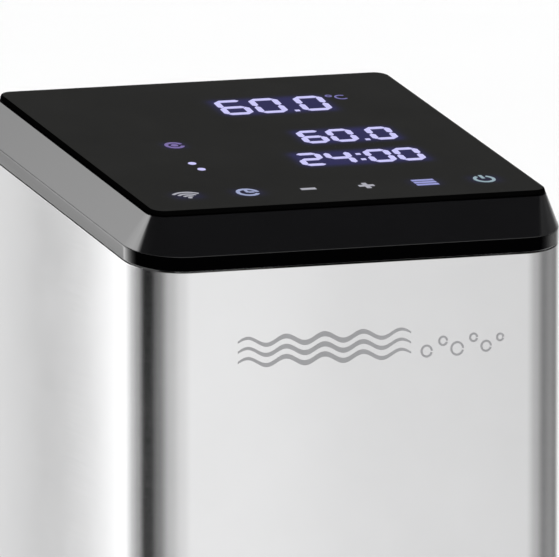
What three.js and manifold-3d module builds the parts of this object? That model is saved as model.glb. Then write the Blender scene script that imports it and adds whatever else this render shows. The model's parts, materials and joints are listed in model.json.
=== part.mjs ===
// A sous vide circulator: a thermostat head on an immersed column, with a screw clamp for a pot's rim.
// Millimetres, +Z up, the front at -Y. The origin is the centre of the column's foot.

import * as THREE from 'three';
import { mergeVertices } from 'three/addons/utils/BufferGeometryUtils.js';
import Module from 'manifold-3d';

const wasm = await Module();
wasm.setup();

// ---------------------------------------------------------------- driving dimensions

const gap = 0.3; // between two pieces that rest on each other

// Head
const headWidth = 110; // across the steel sleeve, both ways
const headCorner = 12.4; // radius of the sleeve's upright edges
const sleeveWall = 1.2;
const slidePlay = 0.4; // between the sleeve's inside and the walls that slide into it
const slideCorner = 10.8; // radius of those walls' upright edges
const slideWall = 2;
const baseBottom = 168;
const baseTop = 172;
const panelTilt = THREE.MathUtils.degToRad(9.1); // the panel leans down towards the front
const panelHeight = 331; // height of the panel's centre
const panelWidth = 100.3;
const panelCorner = 3.3;
const bevelDrop = 9.6; // height of the cap's bevel
const rimHeight = 3.5; // upright rim below the bevel
const glassThickness = 1.0;
const deckThickness = 2.0; // cap's deck below the glass
const capWall = 2.7;
const lipTop = -12; // the cap's lip reaches down into the sleeve; heights below the panel
const lipBottom = -20;
const tieSpread = 45.5; // tie screws stand this far from the axis, both ways
const tieRadius = 2;
const tieHeadRadius = 4.1;
const tieHeadDepth = 2; // of the counterbore in the base's underside
const bossRadius = 4.5;
const bossLength = 26;

// Column
const skirtRadius = 30;
const skirtWall = 1.2;
const skirtBottom = 16.3;
const skirtTop = 163;
const slotCount = 10;
const slotWidth = 4;
const slotLength = 46;
const slotCentreZ = 86;
const bayonetCount = 3;
const bayonetTwist = 30; // degrees
const bayonetZ = 156.5;
const bayonetHeight = 5.2; // of the catch's slot
const flangeBottom = 150;
const flangeRadius = 34;
const shaftTubeRadius = 6;
const shaftRadius = 2.5;

// Heater
const heaterRadius = 3;
const coilRadius = 18;
const coilTurns = 4;
const coilBottom = 60;
const coilTop = 122;
const innerLegRadius = 10.5;

// Clamp
const collarBottom = 136;
const collarTop = 160;
const collarRadius = 38;
const collarBore = 32.4;
const linerThickness = 1.4;
const bridgeBottom = 140;
const bridgeTop = 150;
const jawFace = 36;
const jawBottom = 98;
const bridgeHalf = 17; // half the width of the bridge's end and of the leg
const legFront = 66;
const legBack = 76;
const legBottom = 100;
const screwZ = 112;
const screwRadius = 4;
const padFront = 58.8; // with the clamp fully open
const screwTravel = 18;
const lockY = -44;
const lockZ = 148;
const earInside = 3;
const earOutside = 9;
const leverPivotX = 16;
const leverPinRadius = 1.4;
const leverAngle = THREE.MathUtils.degToRad(50);

// Facets round a full circle
const fine = 36;
const rounded = 24;
const medium = 16;
const coarse = 8;
const cornerSteps = 4; // facets round each upright edge of the head

// ---------------------------------------------------------------- materials

function finish(color, roughness, metalness = 0) {
  return new THREE.MeshStandardMaterial({ color, roughness, metalness });
}

const looks = {
  steel: () => finish(0xc9c9cb, 0.34, 1),
  polished: () => finish(0xb9bbbf, 0.2, 1),
  glossBlack: () => finish(0x08080a, 0.06),
  glass: () => finish(0x0c0c10, 0.03),
  black: () => finish(0x17181a, 0.45),
  rubber: () => finish(0x1b1b1c, 0.85),
  silicone: () => finish(0x8a2f22, 0.6),
  board: () => finish(0x1d5a34, 0.5),
  aluminium: () => finish(0xb4b7ba, 0.4, 1),
  brass: () => finish(0xb08a3e, 0.35, 1),
  zinc: () => finish(0xa9adb1, 0.45, 1),
  copper: () => finish(0xa65a33, 0.4, 1),
  white: () => finish(0xe6e6e2, 0.5),
  yellow: () => finish(0xd8b437, 0.55),
};

// ---------------------------------------------------------------- closed skins and cutting

// One closed skin: shared corners, no flat slivers, faces pointing out.
function closed(geometry) {
  const bare = new THREE.BufferGeometry();
  bare.setAttribute('position', geometry.getAttribute('position'));
  bare.setIndex(geometry.index);
  const merged = mergeVertices(bare, 1e-4);
  const at = merged.getAttribute('position');
  const corners = merged.index.array;
  const faces = [];
  const [a, b, c] = [new THREE.Vector3(), new THREE.Vector3(), new THREE.Vector3()];
  let volume = 0;
  for (let i = 0; i < corners.length; i += 3) {
    const [p, q, r] = [corners[i], corners[i + 1], corners[i + 2]];
    if (p === q || q === r || r === p) continue;
    faces.push(p, q, r);
    a.fromBufferAttribute(at, p);
    b.fromBufferAttribute(at, q);
    c.fromBufferAttribute(at, r);
    volume += a.dot(b.cross(c));
  }
  if (volume < 0) faces.reverse();
  merged.setIndex(faces);
  return merged;
}

function solid(geometry) {
  const skin = closed(geometry);
  const mesh = new wasm.Mesh({
    numProp: 3,
    vertProperties: new Float32Array(skin.getAttribute('position').array),
    triVerts: new Uint32Array(skin.index.array),
  });
  return new wasm.Manifold(mesh);
}

function skinOf(manifold) {
  const mesh = manifold.getMesh();
  const geometry = new THREE.BufferGeometry();
  geometry.setAttribute('position', new THREE.BufferAttribute(new Float32Array(mesh.vertProperties), 3));
  geometry.setIndex(Array.from(mesh.triVerts));
  return geometry;
}

function joined(...geometries) {
  const [first, ...rest] = geometries.map(solid);
  return skinOf(rest.reduce((whole, piece) => whole.add(piece), first));
}

function cut(geometry, ...cutters) {
  return skinOf(cutters.map(solid).reduce((whole, cutter) => whole.subtract(cutter), solid(geometry)));
}

function kept(geometry, region) {
  return skinOf(solid(geometry).intersect(solid(region)));
}

// ---------------------------------------------------------------- shapes

// A box between two corners.
function block([x0, y0, z0], [x1, y1, z1]) {
  const box = new THREE.BoxGeometry(x1 - x0, y1 - y0, z1 - z0);
  return box.translate((x0 + x1) / 2, (y0 + y1) / 2, (z0 + z1) / 2);
}

// A solid of revolution about Z; the profile lists [radius, z].
function turned(profile, segments = medium) {
  const points = profile.map(([radius, z]) => new THREE.Vector2(radius, z));
  return new THREE.LatheGeometry(points, segments).rotateX(Math.PI / 2);
}

function rod(radius, z0, z1, segments = medium) {
  return turned([[0, z0], [radius, z0], [radius, z1], [0, z1]], segments);
}

function ring(outer, inner, z0, z1, segments = medium) {
  return turned([[inner, z0], [outer, z0], [outer, z1], [inner, z1], [inner, z0]], segments);
}

// Turns a piece made along Z so that it lies along X or Y.
function alongX(geometry) {
  return geometry.rotateY(Math.PI / 2);
}

function alongY(geometry) {
  return geometry.rotateX(-Math.PI / 2);
}

// A rounded square's outline, the same number of points whatever its radius.
function roundedSquare(width, radius, steps = cornerSteps) {
  const reach = width / 2 - radius;
  const points = [];
  for (let corner = 0; corner < 4; corner++) {
    const start = (corner * Math.PI) / 2;
    const centreX = reach * (corner === 0 || corner === 3 ? 1 : -1);
    const centreY = reach * (corner < 2 ? 1 : -1);
    for (let i = 0; i <= steps; i++) {
      const angle = start + (i / steps) * (Math.PI / 2);
      const x = centreX + radius * Math.cos(angle);
      const y = centreY + radius * Math.sin(angle);
      points.push(new THREE.Vector2(x, y));
    }
  }
  return points;
}

// A solid through a stack of rounded squares, closed with flat ends; each level is [z, width, radius].
function lofted(levels) {
  const outlines = levels.map(([, width, radius]) => roundedSquare(width, radius));
  const count = outlines[0].length;
  const positions = outlines.flatMap((outline, level) => {
    const z = levels[level][0];
    return outline.flatMap((p) => [p.x, p.y, z]);
  });
  const faces = [];
  for (let level = 0; level + 1 < levels.length; level++) {
    for (let i = 0; i < count; i++) {
      const next = (i + 1) % count;
      const [low, high] = [level * count, (level + 1) * count];
      faces.push(low + i, low + next, high + next);
      faces.push(low + i, high + next, high + i);
    }
  }
  const lastLevel = (levels.length - 1) * count;
  for (const [p, q, r] of THREE.ShapeUtils.triangulateShape(outlines[0], [])) {
    faces.push(p, r, q);
  }
  for (const [p, q, r] of THREE.ShapeUtils.triangulateShape(outlines.at(-1), [])) {
    faces.push(lastLevel + p, lastLevel + q, lastLevel + r);
  }
  const geometry = new THREE.BufferGeometry();
  geometry.setAttribute('position', new THREE.Float32BufferAttribute(positions, 3));
  geometry.setIndex(faces);
  return geometry;
}

// An upright square tube with rounded corners.
function squareTube(width, radius, wall, z0, z1) {
  const [innerWidth, innerRadius] = [width - 2 * wall, radius - wall];
  return cut(
    lofted([[z0, width, radius], [z1, width, radius]]),
    lofted([[z0 - 1, innerWidth, innerRadius], [z1 + 1, innerWidth, innerRadius]]),
  );
}

// An outline through points.
function outlined(points) {
  return new THREE.Shape(points.map(([x, y]) => new THREE.Vector2(x, y)));
}

// A flat shape given height.
function raised(shape, z0, z1, steps = 3) {
  const settings = { depth: z1 - z0, bevelEnabled: false, curveSegments: steps };
  return new THREE.ExtrudeGeometry(shape, settings).translate(0, 0, z0);
}

// A slot with round ends, long in X.
function slotShape(length, width) {
  const reach = length / 2 - width / 2;
  const shape = new THREE.Shape();
  shape.absarc(reach, 0, width / 2, -Math.PI / 2, Math.PI / 2, false);
  shape.absarc(-reach, 0, width / 2, Math.PI / 2, (3 * Math.PI) / 2, false);
  return shape;
}

// A wedge of a ring between two angles in degrees, used as a cutter through a round wall.
function wedge(outer, inner, from, to, z0, z1, steps = 3) {
  const [start, end] = [THREE.MathUtils.degToRad(from), THREE.MathUtils.degToRad(to)];
  const shape = new THREE.Shape();
  shape.absarc(0, 0, outer, start, end, false);
  shape.absarc(0, 0, inner, end, start, true);
  return raised(shape, z0, z1, steps);
}

// The same piece several times over, each made from its number.
function repeated(count, make) {
  return Array.from({ length: count }, (unused, i) => make(i));
}

// Leans a piece made flat at height 0 so that it lies parallel to the panel, with upright sides.
function leaned(geometry, z = panelHeight) {
  const lean = new THREE.Matrix4().makeShear(0, 0, 0, Math.tan(panelTilt), 0, 0);
  return geometry.applyMatrix4(lean).translate(0, 0, z);
}

// ---------------------------------------------------------------- assembling

const group = new THREE.Group();
group.name = 'sous_vide_circulator';

function add(name, look, geometry, parent = group) {
  const mesh = new THREE.Mesh(closed(geometry), looks[look]());
  mesh.name = name;
  parent.add(mesh);
  return mesh;
}

// Boards and display lie parallel to the panel, measured from its centre.
const panelGroup = new THREE.Group();
panelGroup.position.z = panelHeight;
panelGroup.rotation.x = panelTilt;
group.add(panelGroup);

// The four corners of a square round the axis.
function corners(reach) {
  return [[-reach, -reach], [reach, -reach], [reach, reach], [-reach, reach]];
}

const tiePlaces = corners(tieSpread);

// ---------------------------------------------------------------- head: cap and glass

const bevelSlope = (headWidth - panelWidth) / 2 / bevelDrop;
const rimBottom = -(bevelDrop + rimHeight);
const slideWidth = headWidth - 2 * (sleeveWall + slidePlay);

// Openings in the cap's deck, under the glass.
const displayWindow = { left: -30, right: 38, front: -24, back: 38 };
const keyWindow = { left: -41.4, right: 41.4, front: -44, back: -32 };

// Height of the leaning panel at a distance back from the axis.
function panelAt(y) {
  return panelHeight + y * Math.tan(panelTilt);
}

// Width and corner radius of the bevel at a depth below the panel.
function bevelAt(depth) {
  const share = depth / bevelDrop;
  return [panelWidth + 2 * bevelSlope * depth, panelCorner + share * (headCorner - panelCorner)];
}

function makeGlass() {
  return leaned(lofted([[-glassThickness, ...bevelAt(glassThickness)], [0, panelWidth, panelCorner]]));
}

function makeCap() {
  const topDepth = glassThickness + gap;
  const outside = lofted([
    [rimBottom, headWidth, headCorner],
    [-bevelDrop, headWidth, headCorner],
    [-topDepth, ...bevelAt(topDepth)],
  ]);
  const innerWidth = headWidth - 2 * capWall;
  const deckDepth = topDepth + deckThickness;
  const inside = lofted([
    [rimBottom - 1, innerWidth, headCorner - capWall],
    [-bevelDrop, innerWidth, headCorner - capWall],
    [-deckDepth, bevelAt(deckDepth)[0] - 2 * capWall, panelCorner + 1],
  ]);
  const lip = squareTube(slideWidth, slideCorner, slideWall, lipBottom, lipTop);
  const windows = [displayWindow, keyWindow].map(({ left, right, front, back }) =>
    block([left, front, -8], [right, back, 0]));
  const shell = leaned(cut(joined(cut(outside, inside), lip), ...windows));
  const pillar = ([x, y], radius, below, above) => {
    const deckZ = panelAt(y) - topDepth - deckThickness / 2;
    return rod(radius, deckZ - below, deckZ - above, coarse).translate(x, y, 0);
  };
  const bosses = tiePlaces.map((place) => pillar(place, bossRadius, bossLength, 0));
  const threads = tiePlaces.map((place) => pillar(place, tieRadius + 0.4, bossLength + 1, 4));
  return cut(joined(shell, ...bosses), ...threads);
}

function makeCapGasket() {
  const inset = 0.2;
  const thickness = 1.3;
  const depth = 2;
  const width = slideWidth - 2 * inset;
  return leaned(squareTube(width, slideCorner - inset, thickness, lipBottom - depth, lipBottom - gap));
}

add('touch_glass', 'glass', makeGlass());
add('top_cap', 'glossBlack', makeCap());
add('cap_gasket', 'silicone', makeCapGasket());

// ---------------------------------------------------------------- head: sleeve and base

const inletZ = 196;
const inletHalf = [13.6, 9.9]; // of the inlet's body, across and up
const inletScrewReach = 20;
const inletScrewHole = 1.9;
const ventZ = 262;
const ventCount = 6;
const ventPitch = 8;
const ventLength = 44;
const ventWidth = 3;

function makeShell() {
  const [wide, tall] = [150, 250]; // beyond the head, so that the cut runs clean through
  const sleeve = squareTube(headWidth, headCorner, sleeveWall, baseTop + gap, panelHeight + bevelDrop);
  const belowCap = leaned(lofted([[-tall, wide, 5], [rimBottom - gap, wide, 5]]));
  const [back, through, room] = [headWidth / 2, 6, 0.6];
  const [halfX, halfZ] = inletHalf.map((half) => half + room);
  const inletHole = block(
    [-halfX, back - through, inletZ - halfZ],
    [halfX, back + through, inletZ + halfZ],
  );
  const screwHoles = [-1, 1].map((side) =>
    alongY(rod(inletScrewHole, -through, through, coarse)).translate(side * inletScrewReach, back, inletZ));
  const vents = repeated(ventCount, (i) =>
    raised(slotShape(ventLength, ventWidth), -through, through, 1)
      .rotateX(Math.PI / 2)
      .translate(0, back, ventZ + (i - (ventCount - 1) / 2) * ventPitch));
  return cut(kept(sleeve, belowCap), inletHole, ...screwHoles, ...vents);
}

const baseHole = 26.2;
const baseFloor = baseTop + 0.5; // inside the base
const baseWallTop = baseTop + 10; // the base's wall reaches up into the sleeve
const sealInner = 27;
const sealOuter = 30;
const sealDepth = 2;

function makeBase() {
  const chamfer = 1;
  const hollowWidth = slideWidth - 2 * slideWall;
  const hollowCorner = slideCorner - slideWall;
  const plate = lofted([
    [baseBottom, headWidth - 2 * chamfer, headCorner - chamfer],
    [baseBottom + chamfer, headWidth, headCorner],
    [baseTop, headWidth, headCorner],
  ]);
  const wall = lofted([[baseTop - 1, slideWidth, slideCorner], [baseWallTop, slideWidth, slideCorner]]);
  const hollow = lofted([
    [baseFloor, hollowWidth, hollowCorner],
    [baseWallTop + 1, hollowWidth, hollowCorner],
  ]);
  const passage = rod(baseHole, baseBottom - 1, baseTop + 2, fine);
  const sealGroove = ring(sealOuter, sealInner, baseBottom - 1, baseBottom + sealDepth, rounded);
  const tieHoles = tiePlaces.map(([x, y]) => joined(
    rod(tieHeadRadius + 0.5, baseBottom - 1, baseBottom + tieHeadDepth, coarse),
    rod(tieRadius + 0.4, baseBottom, baseTop + 2, coarse),
  ).translate(x, y, 0));
  return cut(joined(plate, wall), hollow, passage, sealGroove, ...tieHoles);
}

// A long screw from the base's underside up into the cap's boss.
function makeTieScrew([x, y]) {
  const headBottom = baseBottom + 0.2;
  const headTop = baseBottom + tieHeadDepth - gap;
  const top = panelAt(y) - 16;
  const screw = turned([
    [0, headBottom],
    [tieHeadRadius, headBottom],
    [tieHeadRadius, headTop],
    [tieRadius, headTop],
    [tieRadius, top],
    [0, top],
  ], coarse);
  const socket = rod(1.6, baseBottom - 1, baseBottom + 1.2, 6);
  return cut(screw, socket).translate(x, y, 0);
}

add('head_shell', 'steel', makeShell());
add('head_base', 'black', makeBase());
tiePlaces.forEach((place, i) => add(`tie_screw_${i + 1}`, 'zinc', makeTieScrew(place)));

// ---------------------------------------------------------------- head: power inlet

const flangeFront = headWidth / 2 + gap;
const inletFace = flangeFront + 3;
const socketDepth = 17;
const pinLength = 11;
const pinBack = 28; // the pins' tails stand out of the body towards the boards
const pinPlaces = [['live', -7, -1.5], ['neutral', 7, -1.5], ['earth', 0, 2.5]];

function makeInlet() {
  const flangePlate = raised(slotShape(50, 24), 0, inletFace - flangeFront, 4)
    .rotateX(-Math.PI / 2)
    .translate(0, flangeFront, inletZ);
  const [halfX, halfZ] = inletHalf;
  const body = block([-halfX, 32, inletZ - halfZ], [halfX, flangeFront + 1, inletZ + halfZ]);
  const mouth = outlined([[-12, -8.3], [12, -8.3], [12, 5], [9, 8.3], [-9, 8.3], [-12, 5]]);
  const socket = raised(mouth, 0, socketDepth + 1)
    .rotateX(Math.PI / 2)
    .translate(0, inletFace + 1, inletZ);
  const floor = inletFace - socketDepth;
  const pinSlots = pinPlaces.map(([, x, z]) => pinBlock(x, z, pinBack + 2, floor + 1, 0.35));
  const screwHoles = [-1, 1].map((side) =>
    alongY(rod(inletScrewHole, -4, 4, coarse)).translate(side * inletScrewReach, inletFace, inletZ));
  return cut(joined(flangePlate, body), socket, ...pinSlots, ...screwHoles);
}

function pinBlock(x, z, y0, y1, extra = 0) {
  const [halfX, halfZ] = [1 + extra, 2 + extra];
  return block([x - halfX, y0, inletZ + z - halfZ], [x + halfX, y1, inletZ + z + halfZ]);
}

function makeInletScrew(side) {
  const profile = [[0, -14], [1.5, -14], [1.5, gap], [3.2, gap], [3.2, 1.2], [2.2, 2], [0, 2]];
  const cross = joined(block([-0.4, -2.2, 1.2], [0.4, 2.2, 3]), block([-2.2, -0.4, 1.2], [2.2, 0.4, 3]));
  return alongY(cut(turned(profile, coarse), cross)).translate(side * inletScrewReach, inletFace, inletZ);
}

add('power_inlet', 'black', makeInlet());
for (const [name, x, z] of pinPlaces) {
  const floor = inletFace - socketDepth;
  add(`inlet_pin_${name}`, 'brass', pinBlock(x, z, pinBack, floor + pinLength));
}
add('inlet_screw_left', 'zinc', makeInletScrew(-1));
add('inlet_screw_right', 'zinc', makeInletScrew(1));

// ---------------------------------------------------------------- head: boards

const boardThickness = 1.6;
const boardTop = -18.4; // control board, below the panel
const displayTop = -5;
const keyCount = 6;
const keyPitch = 15.06;
const keyRow = -38; // the middle of the row of keys

// The board carries its driver, memory and clock on the side that faces the panel.
function makeControlBoard() {
  const board = block([-37, -40, boardTop - boardThickness], [37, 37, boardTop]);
  const chip = (left, right, front, back, height) =>
    block([left, front, boardTop - 0.1], [right, back, boardTop + height]);
  const driver = chip(-34, -22, -20, -8, 1.6);
  const memory = chip(-34, -18, 6, 24, 2.4);
  const clock = chip(-36, -22, 28, 36, 4.4);
  return joined(board, driver, memory, clock);
}

function makeTouchSensor() {
  const strip = block([-41.2, keyRow - 5, displayTop - 1.2], [41.2, keyRow + 5, displayTop]);
  const pads = repeated(keyCount, (i) =>
    rod(3.4, displayTop - 0.1, displayTop + 0.8, coarse)
      .translate((i - (keyCount - 1) / 2) * keyPitch, keyRow, 0));
  return joined(strip, ...pads);
}

add('control_board', 'board', makeControlBoard(), panelGroup);
add('display_module', 'white', block([-12, -22, boardTop + gap], [37, 37, displayTop]), panelGroup);
add('touch_sensor', 'board', makeTouchSensor(), panelGroup);

// The power board stands at the right; its parts face the middle of the head.
const powerBoardX = 44;

function onPowerBoard(depth, front, back, z0, z1) {
  return block([powerBoardX - depth, front, z0], [powerBoardX - gap, back, z1]);
}

function makeHeatSink() {
  const [front, back, low, high] = [-34, -2, 206, 240];
  const finPitch = 6;
  const plate = onPowerBoard(4, front, back, low, high);
  const fins = repeated(6, (i) => {
    const start = front + i * finPitch;
    return block([powerBoardX - 16, start, low], [powerBoardX - 3, start + 2, high]);
  });
  return joined(plate, ...fins);
}

add('power_board', 'board', block([powerBoardX, -36, 200], [powerBoardX + boardThickness, 30, 290]));
add('heater_relay', 'black', onPowerBoard(16, -30, -12, 250, 272));
add('supply_transformer', 'yellow', onPowerBoard(18, -4, 22, 250, 274));

add('heat_sink', 'aluminium', makeHeatSink());

// ---------------------------------------------------------------- head: motor

const motorBottom = 196;
const motorTop = 240;
const motorRadius = 19;
const motorHole = 4; // radius of the opening round its shaft
const canWall = 1.2;
const statorBore = 14.4;
const plateThickness = 3;
const studRadius = 1.4;
const standoffPlaces = corners(22);

function makeMotorPlate() {
  const [low, high] = [motorBottom - plateThickness, motorBottom - gap];
  const plate = lofted([[low, 54, 5], [high, 54, 5]]);
  const holes = standoffPlaces.map(([x, y]) =>
    rod(studRadius + 0.4, low - 1, high + 1, coarse).translate(x, y, 0));
  return cut(plate, rod(8, low - 1, high + 1), ...holes);
}

function makeStandoff([x, y]) {
  const foot = baseFloor + gap;
  const shoulder = motorBottom - plateThickness - gap;
  const top = motorBottom - 2 * gap;
  const post = turned([
    [0, foot],
    [3, foot],
    [3, shoulder],
    [studRadius, shoulder],
    [studRadius, top],
    [0, top],
  ], coarse);
  return post.translate(x, y, 0);
}

function makeMotorCan() {
  return turned([
    [motorHole, motorBottom],
    [motorRadius, motorBottom],
    [motorRadius, motorTop],
    [motorRadius - canWall, motorTop],
    [motorRadius - canWall, motorBottom + 2],
    [motorHole, motorBottom + 2],
    [motorHole, motorBottom],
  ]);
}

add('motor_plate', 'zinc', makeMotorPlate());
standoffPlaces.forEach((place, i) => add(`motor_standoff_${i + 1}`, 'brass', makeStandoff(place)));
add('motor_can', 'zinc', makeMotorCan());
add('motor_stator', 'copper', ring(motorRadius - canWall - 0.4, statorBore, motorBottom + 6, motorTop - 6));
add('motor_endbell', 'aluminium', ring(motorRadius, motorHole, motorTop + gap, motorTop + 5));

// ---------------------------------------------------------------- rotor

const shaftBottom = 24;
const shaftJoint = 182;
const rotorTop = 262;
const rotorBore = shaftRadius + 0.4;
const fanBottom = 249;
const fanTop = 260;
const fanReach = 24;
const fanBlades = 7;
const fanPitch = THREE.MathUtils.degToRad(50);
const impellerBottom = 26;
const impellerTop = 35;
const impellerRadius = 15;
const impellerVanes = 6;

function makeFan() {
  const hub = ring(8, rotorBore, fanBottom, fanTop);
  const blades = repeated(fanBlades, (i) =>
    block([7, -0.8, -4], [fanReach, 0.8, 4])
      .rotateX(fanPitch)
      .rotateZ((i * 2 * Math.PI) / fanBlades)
      .translate(0, 0, (fanBottom + fanTop) / 2));
  return joined(hub, ...blades);
}

// Swept vanes under a round plate.
function makeImpeller() {
  const plate = rod(impellerRadius, impellerTop - 1.5, impellerTop, medium);
  const hub = rod(5.5, impellerBottom, impellerTop, medium);
  const outline = new THREE.Shape();
  outline.moveTo(4, -0.9);
  outline.quadraticCurveTo(10, 0, 15.6, 4.5);
  outline.lineTo(14.8, 6);
  outline.quadraticCurveTo(9, 1.8, 4, 0.9);
  const vanes = repeated(impellerVanes, (i) =>
    raised(outline, impellerBottom, impellerTop - 1, 1).rotateZ((i * 2 * Math.PI) / impellerVanes));
  const bore = rod(rotorBore, impellerBottom - 1, impellerTop + 1, medium);
  return cut(joined(plate, hub, ...vanes), bore);
}

add('drive_shaft', 'polished', rod(shaftRadius, shaftBottom, shaftJoint - gap / 2));
add('motor_shaft', 'polished', rod(shaftRadius, shaftJoint + gap / 2, rotorTop));
add('shaft_coupling', 'aluminium', ring(6.5, rotorBore, shaftJoint - 8, shaftJoint + 8));
add('rotor_core', 'zinc', ring(statorBore - 0.8, rotorBore, motorBottom + 7, motorTop - 7));
add('cooling_fan', 'black', makeFan());
add('impeller', 'black', makeImpeller());

// ---------------------------------------------------------------- column: flange, tube and bearings

const probeRadius = 25;
const sensorTop = 165; // sensors end inside the flange
const holeRoom = 0.35; // round what passes through the flange
const insideSkirt = skirtRadius - skirtWall - 0.6; // radius of what fits into the skirt's ends
const outerLeg = [coilRadius, 0];
const innerLeg = [-innerLegRadius, 0];
const sensors = {
  temperature_probe: { degrees: 130, radius: 2.3, tip: 66 },
  level_probe_high: { degrees: 215, radius: 1.6, tip: 112 },
  level_probe_low: { degrees: 235, radius: 1.6, tip: 74 },
};

function sensorPlace(sensor) {
  const angle = THREE.MathUtils.degToRad(sensor.degrees);
  return [probeRadius * Math.cos(angle), probeRadius * Math.sin(angle)];
}

function lugAngle(i) {
  return 90 + (i * 360) / bayonetCount;
}

// The plate that everything in the water hangs from. Its lugs hold the skirt.
function makeFlange() {
  const plate = turned([
    [0, flangeBottom],
    [insideSkirt, flangeBottom],
    [insideSkirt, skirtTop + gap],
    [flangeRadius, skirtTop + gap],
    [flangeRadius, baseBottom - gap],
    [baseHole - 0.6, baseBottom - gap],
    [baseHole - 0.6, baseTop],
    [0, baseTop],
  ], fine);
  const lugs = repeated(bayonetCount, (i) =>
    alongX(rod(1.9, 20, skirtRadius - 0.2, 6))
      .rotateZ(THREE.MathUtils.degToRad(lugAngle(i)))
      .translate(0, 0, bayonetZ));
  const hole = (radius, [x, y], top) =>
    rod(radius + holeRoom, flangeBottom - 1, top, coarse).translate(x, y, 0);
  const holes = [
    rod(shaftTubeRadius + holeRoom, flangeBottom - 1, baseTop + 1, medium),
    hole(heaterRadius, outerLeg, baseTop + 1),
    hole(heaterRadius, innerLeg, baseTop + 1),
    ...Object.values(sensors).map((sensor) => hole(sensor.radius, sensorPlace(sensor), sensorTop + gap)),
  ];
  return cut(joined(plate, ...lugs), ...holes);
}

function makeSensor(sensor) {
  const [x, y] = sensorPlace(sensor);
  const { radius, tip } = sensor;
  const profile = [
    [0, tip],
    [radius * 0.7, tip + radius * 0.3],
    [radius, tip + radius],
    [radius, sensorTop],
    [0, sensorTop],
  ];
  return turned(profile, coarse).translate(x, y, 0);
}

const tubeBottom = 42;

function makeFlangeSeal() {
  return ring(sealOuter - gap, sealInner + gap, baseBottom, baseBottom + sealDepth - gap, rounded);
}

add('element_flange', 'steel', makeFlange());
add('flange_seal', 'silicone', makeFlangeSeal());
add('shaft_tube', 'polished', ring(shaftTubeRadius, shaftTubeRadius - 1, tubeBottom, baseTop + 1));
for (const [name, sensor] of Object.entries(sensors)) {
  add(name, 'polished', makeSensor(sensor));
}

const bushInner = shaftRadius + 0.1;
const bushOuter = shaftTubeRadius - 1.3;
add('lower_bush', 'brass', ring(bushOuter, bushInner, tubeBottom + 1, tubeBottom + 9));
add('upper_bush', 'brass', ring(bushOuter, bushInner, baseTop - 14, baseTop - 6));
add('shaft_seal', 'rubber', ring(bushOuter, bushInner + 0.2, baseTop - 5, baseTop - 2));

// A short duct round the impeller; three spokes carry it from a hub on the shaft tube.
function makePumpHousing() {
  const hubBottom = 37;
  const hubFloor = tubeBottom - 1;
  const wall = ring(22, 20, 23, tubeBottom, rounded);
  const hub = rod(9.5, hubBottom, tubeBottom + 5, medium);
  const spokes = repeated(3, (i) =>
    block([0, -2, hubBottom], [21, 2, hubFloor]).rotateZ(THREE.MathUtils.degToRad(30 + i * 120)));
  const bore = rod(shaftTubeRadius + holeRoom, hubFloor, tubeBottom + 6, medium);
  const shaftHole = rod(3.6, hubBottom - 1, tubeBottom, medium);
  return cut(joined(wall, hub, ...spokes), bore, shaftHole);
}

add('pump_housing', 'black', makePumpHousing());

// ---------------------------------------------------------------- column: heater

// Down the inner leg, out to the coil's radius, round the turns and up the outer leg.
class HeaterPath extends THREE.Curve {
  getPoint(t, target = new THREE.Vector3()) {
    const top = baseTop + 4;
    const legShare = 0.12;
    if (t < legShare) {
      const share = t / legShare;
      return target.set(innerLeg[0], innerLeg[1], THREE.MathUtils.lerp(top, coilBottom + 4, share));
    }
    if (t > 1 - legShare) {
      const share = (t - 1 + legShare) / legShare;
      return target.set(outerLeg[0], outerLeg[1], THREE.MathUtils.lerp(coilTop, top, share));
    }
    const share = (t - legShare) / (1 - 2 * legShare);
    const turns = coilTurns + 0.5;
    const angle = Math.PI + share * turns * 2 * Math.PI;
    const spread = THREE.MathUtils.smoothstep(share, 0, 0.5 / turns);
    const radius = THREE.MathUtils.lerp(innerLegRadius, coilRadius, spread);
    const dip = 4 * (1 - THREE.MathUtils.smoothstep(share, 0, 0.25 / turns));
    const z = THREE.MathUtils.lerp(coilBottom, coilTop, share) + dip;
    return target.set(radius * Math.cos(angle), radius * Math.sin(angle), z);
  }
}

function makeHeater() {
  const section = outlined(repeated(6, (i) => {
    const angle = (i * Math.PI) / 3;
    return [heaterRadius * Math.cos(angle), heaterRadius * Math.sin(angle)];
  }));
  return new THREE.ExtrudeGeometry(section, { steps: 84, extrudePath: new HeaterPath() });
}

add('heater_coil', 'polished', makeHeater());

// ---------------------------------------------------------------- column: skirt and outlet cap

function makeSkirt() {
  const tube = ring(skirtRadius, skirtRadius - skirtWall, skirtBottom, skirtTop, fine);
  const [beyond, within] = [skirtRadius + 3, skirtRadius - 4]; // either side of the wall
  const slots = repeated(slotCount, (i) =>
    raised(slotShape(slotLength, slotWidth), within, beyond, 1)
      .rotateY(Math.PI / 2)
      .rotateZ(((i + 0.5) * 2 * Math.PI) / slotCount)
      .translate(0, 0, slotCentreZ));
  const play = 5; // degrees either side of a lug
  const [low, high] = [bayonetZ - bayonetHeight / 2, bayonetZ + bayonetHeight / 2];
  const catches = repeated(bayonetCount, (i) => {
    const locked = lugAngle(i);
    const free = locked - bayonetTwist;
    const across = wedge(beyond, within, free - play, locked + play, low, high, 1);
    const entry = wedge(beyond, within, free - play, free + play, bayonetZ, skirtTop + 1, 1);
    return joined(across, entry);
  });
  return cut(tube, ...slots, ...catches);
}

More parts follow.
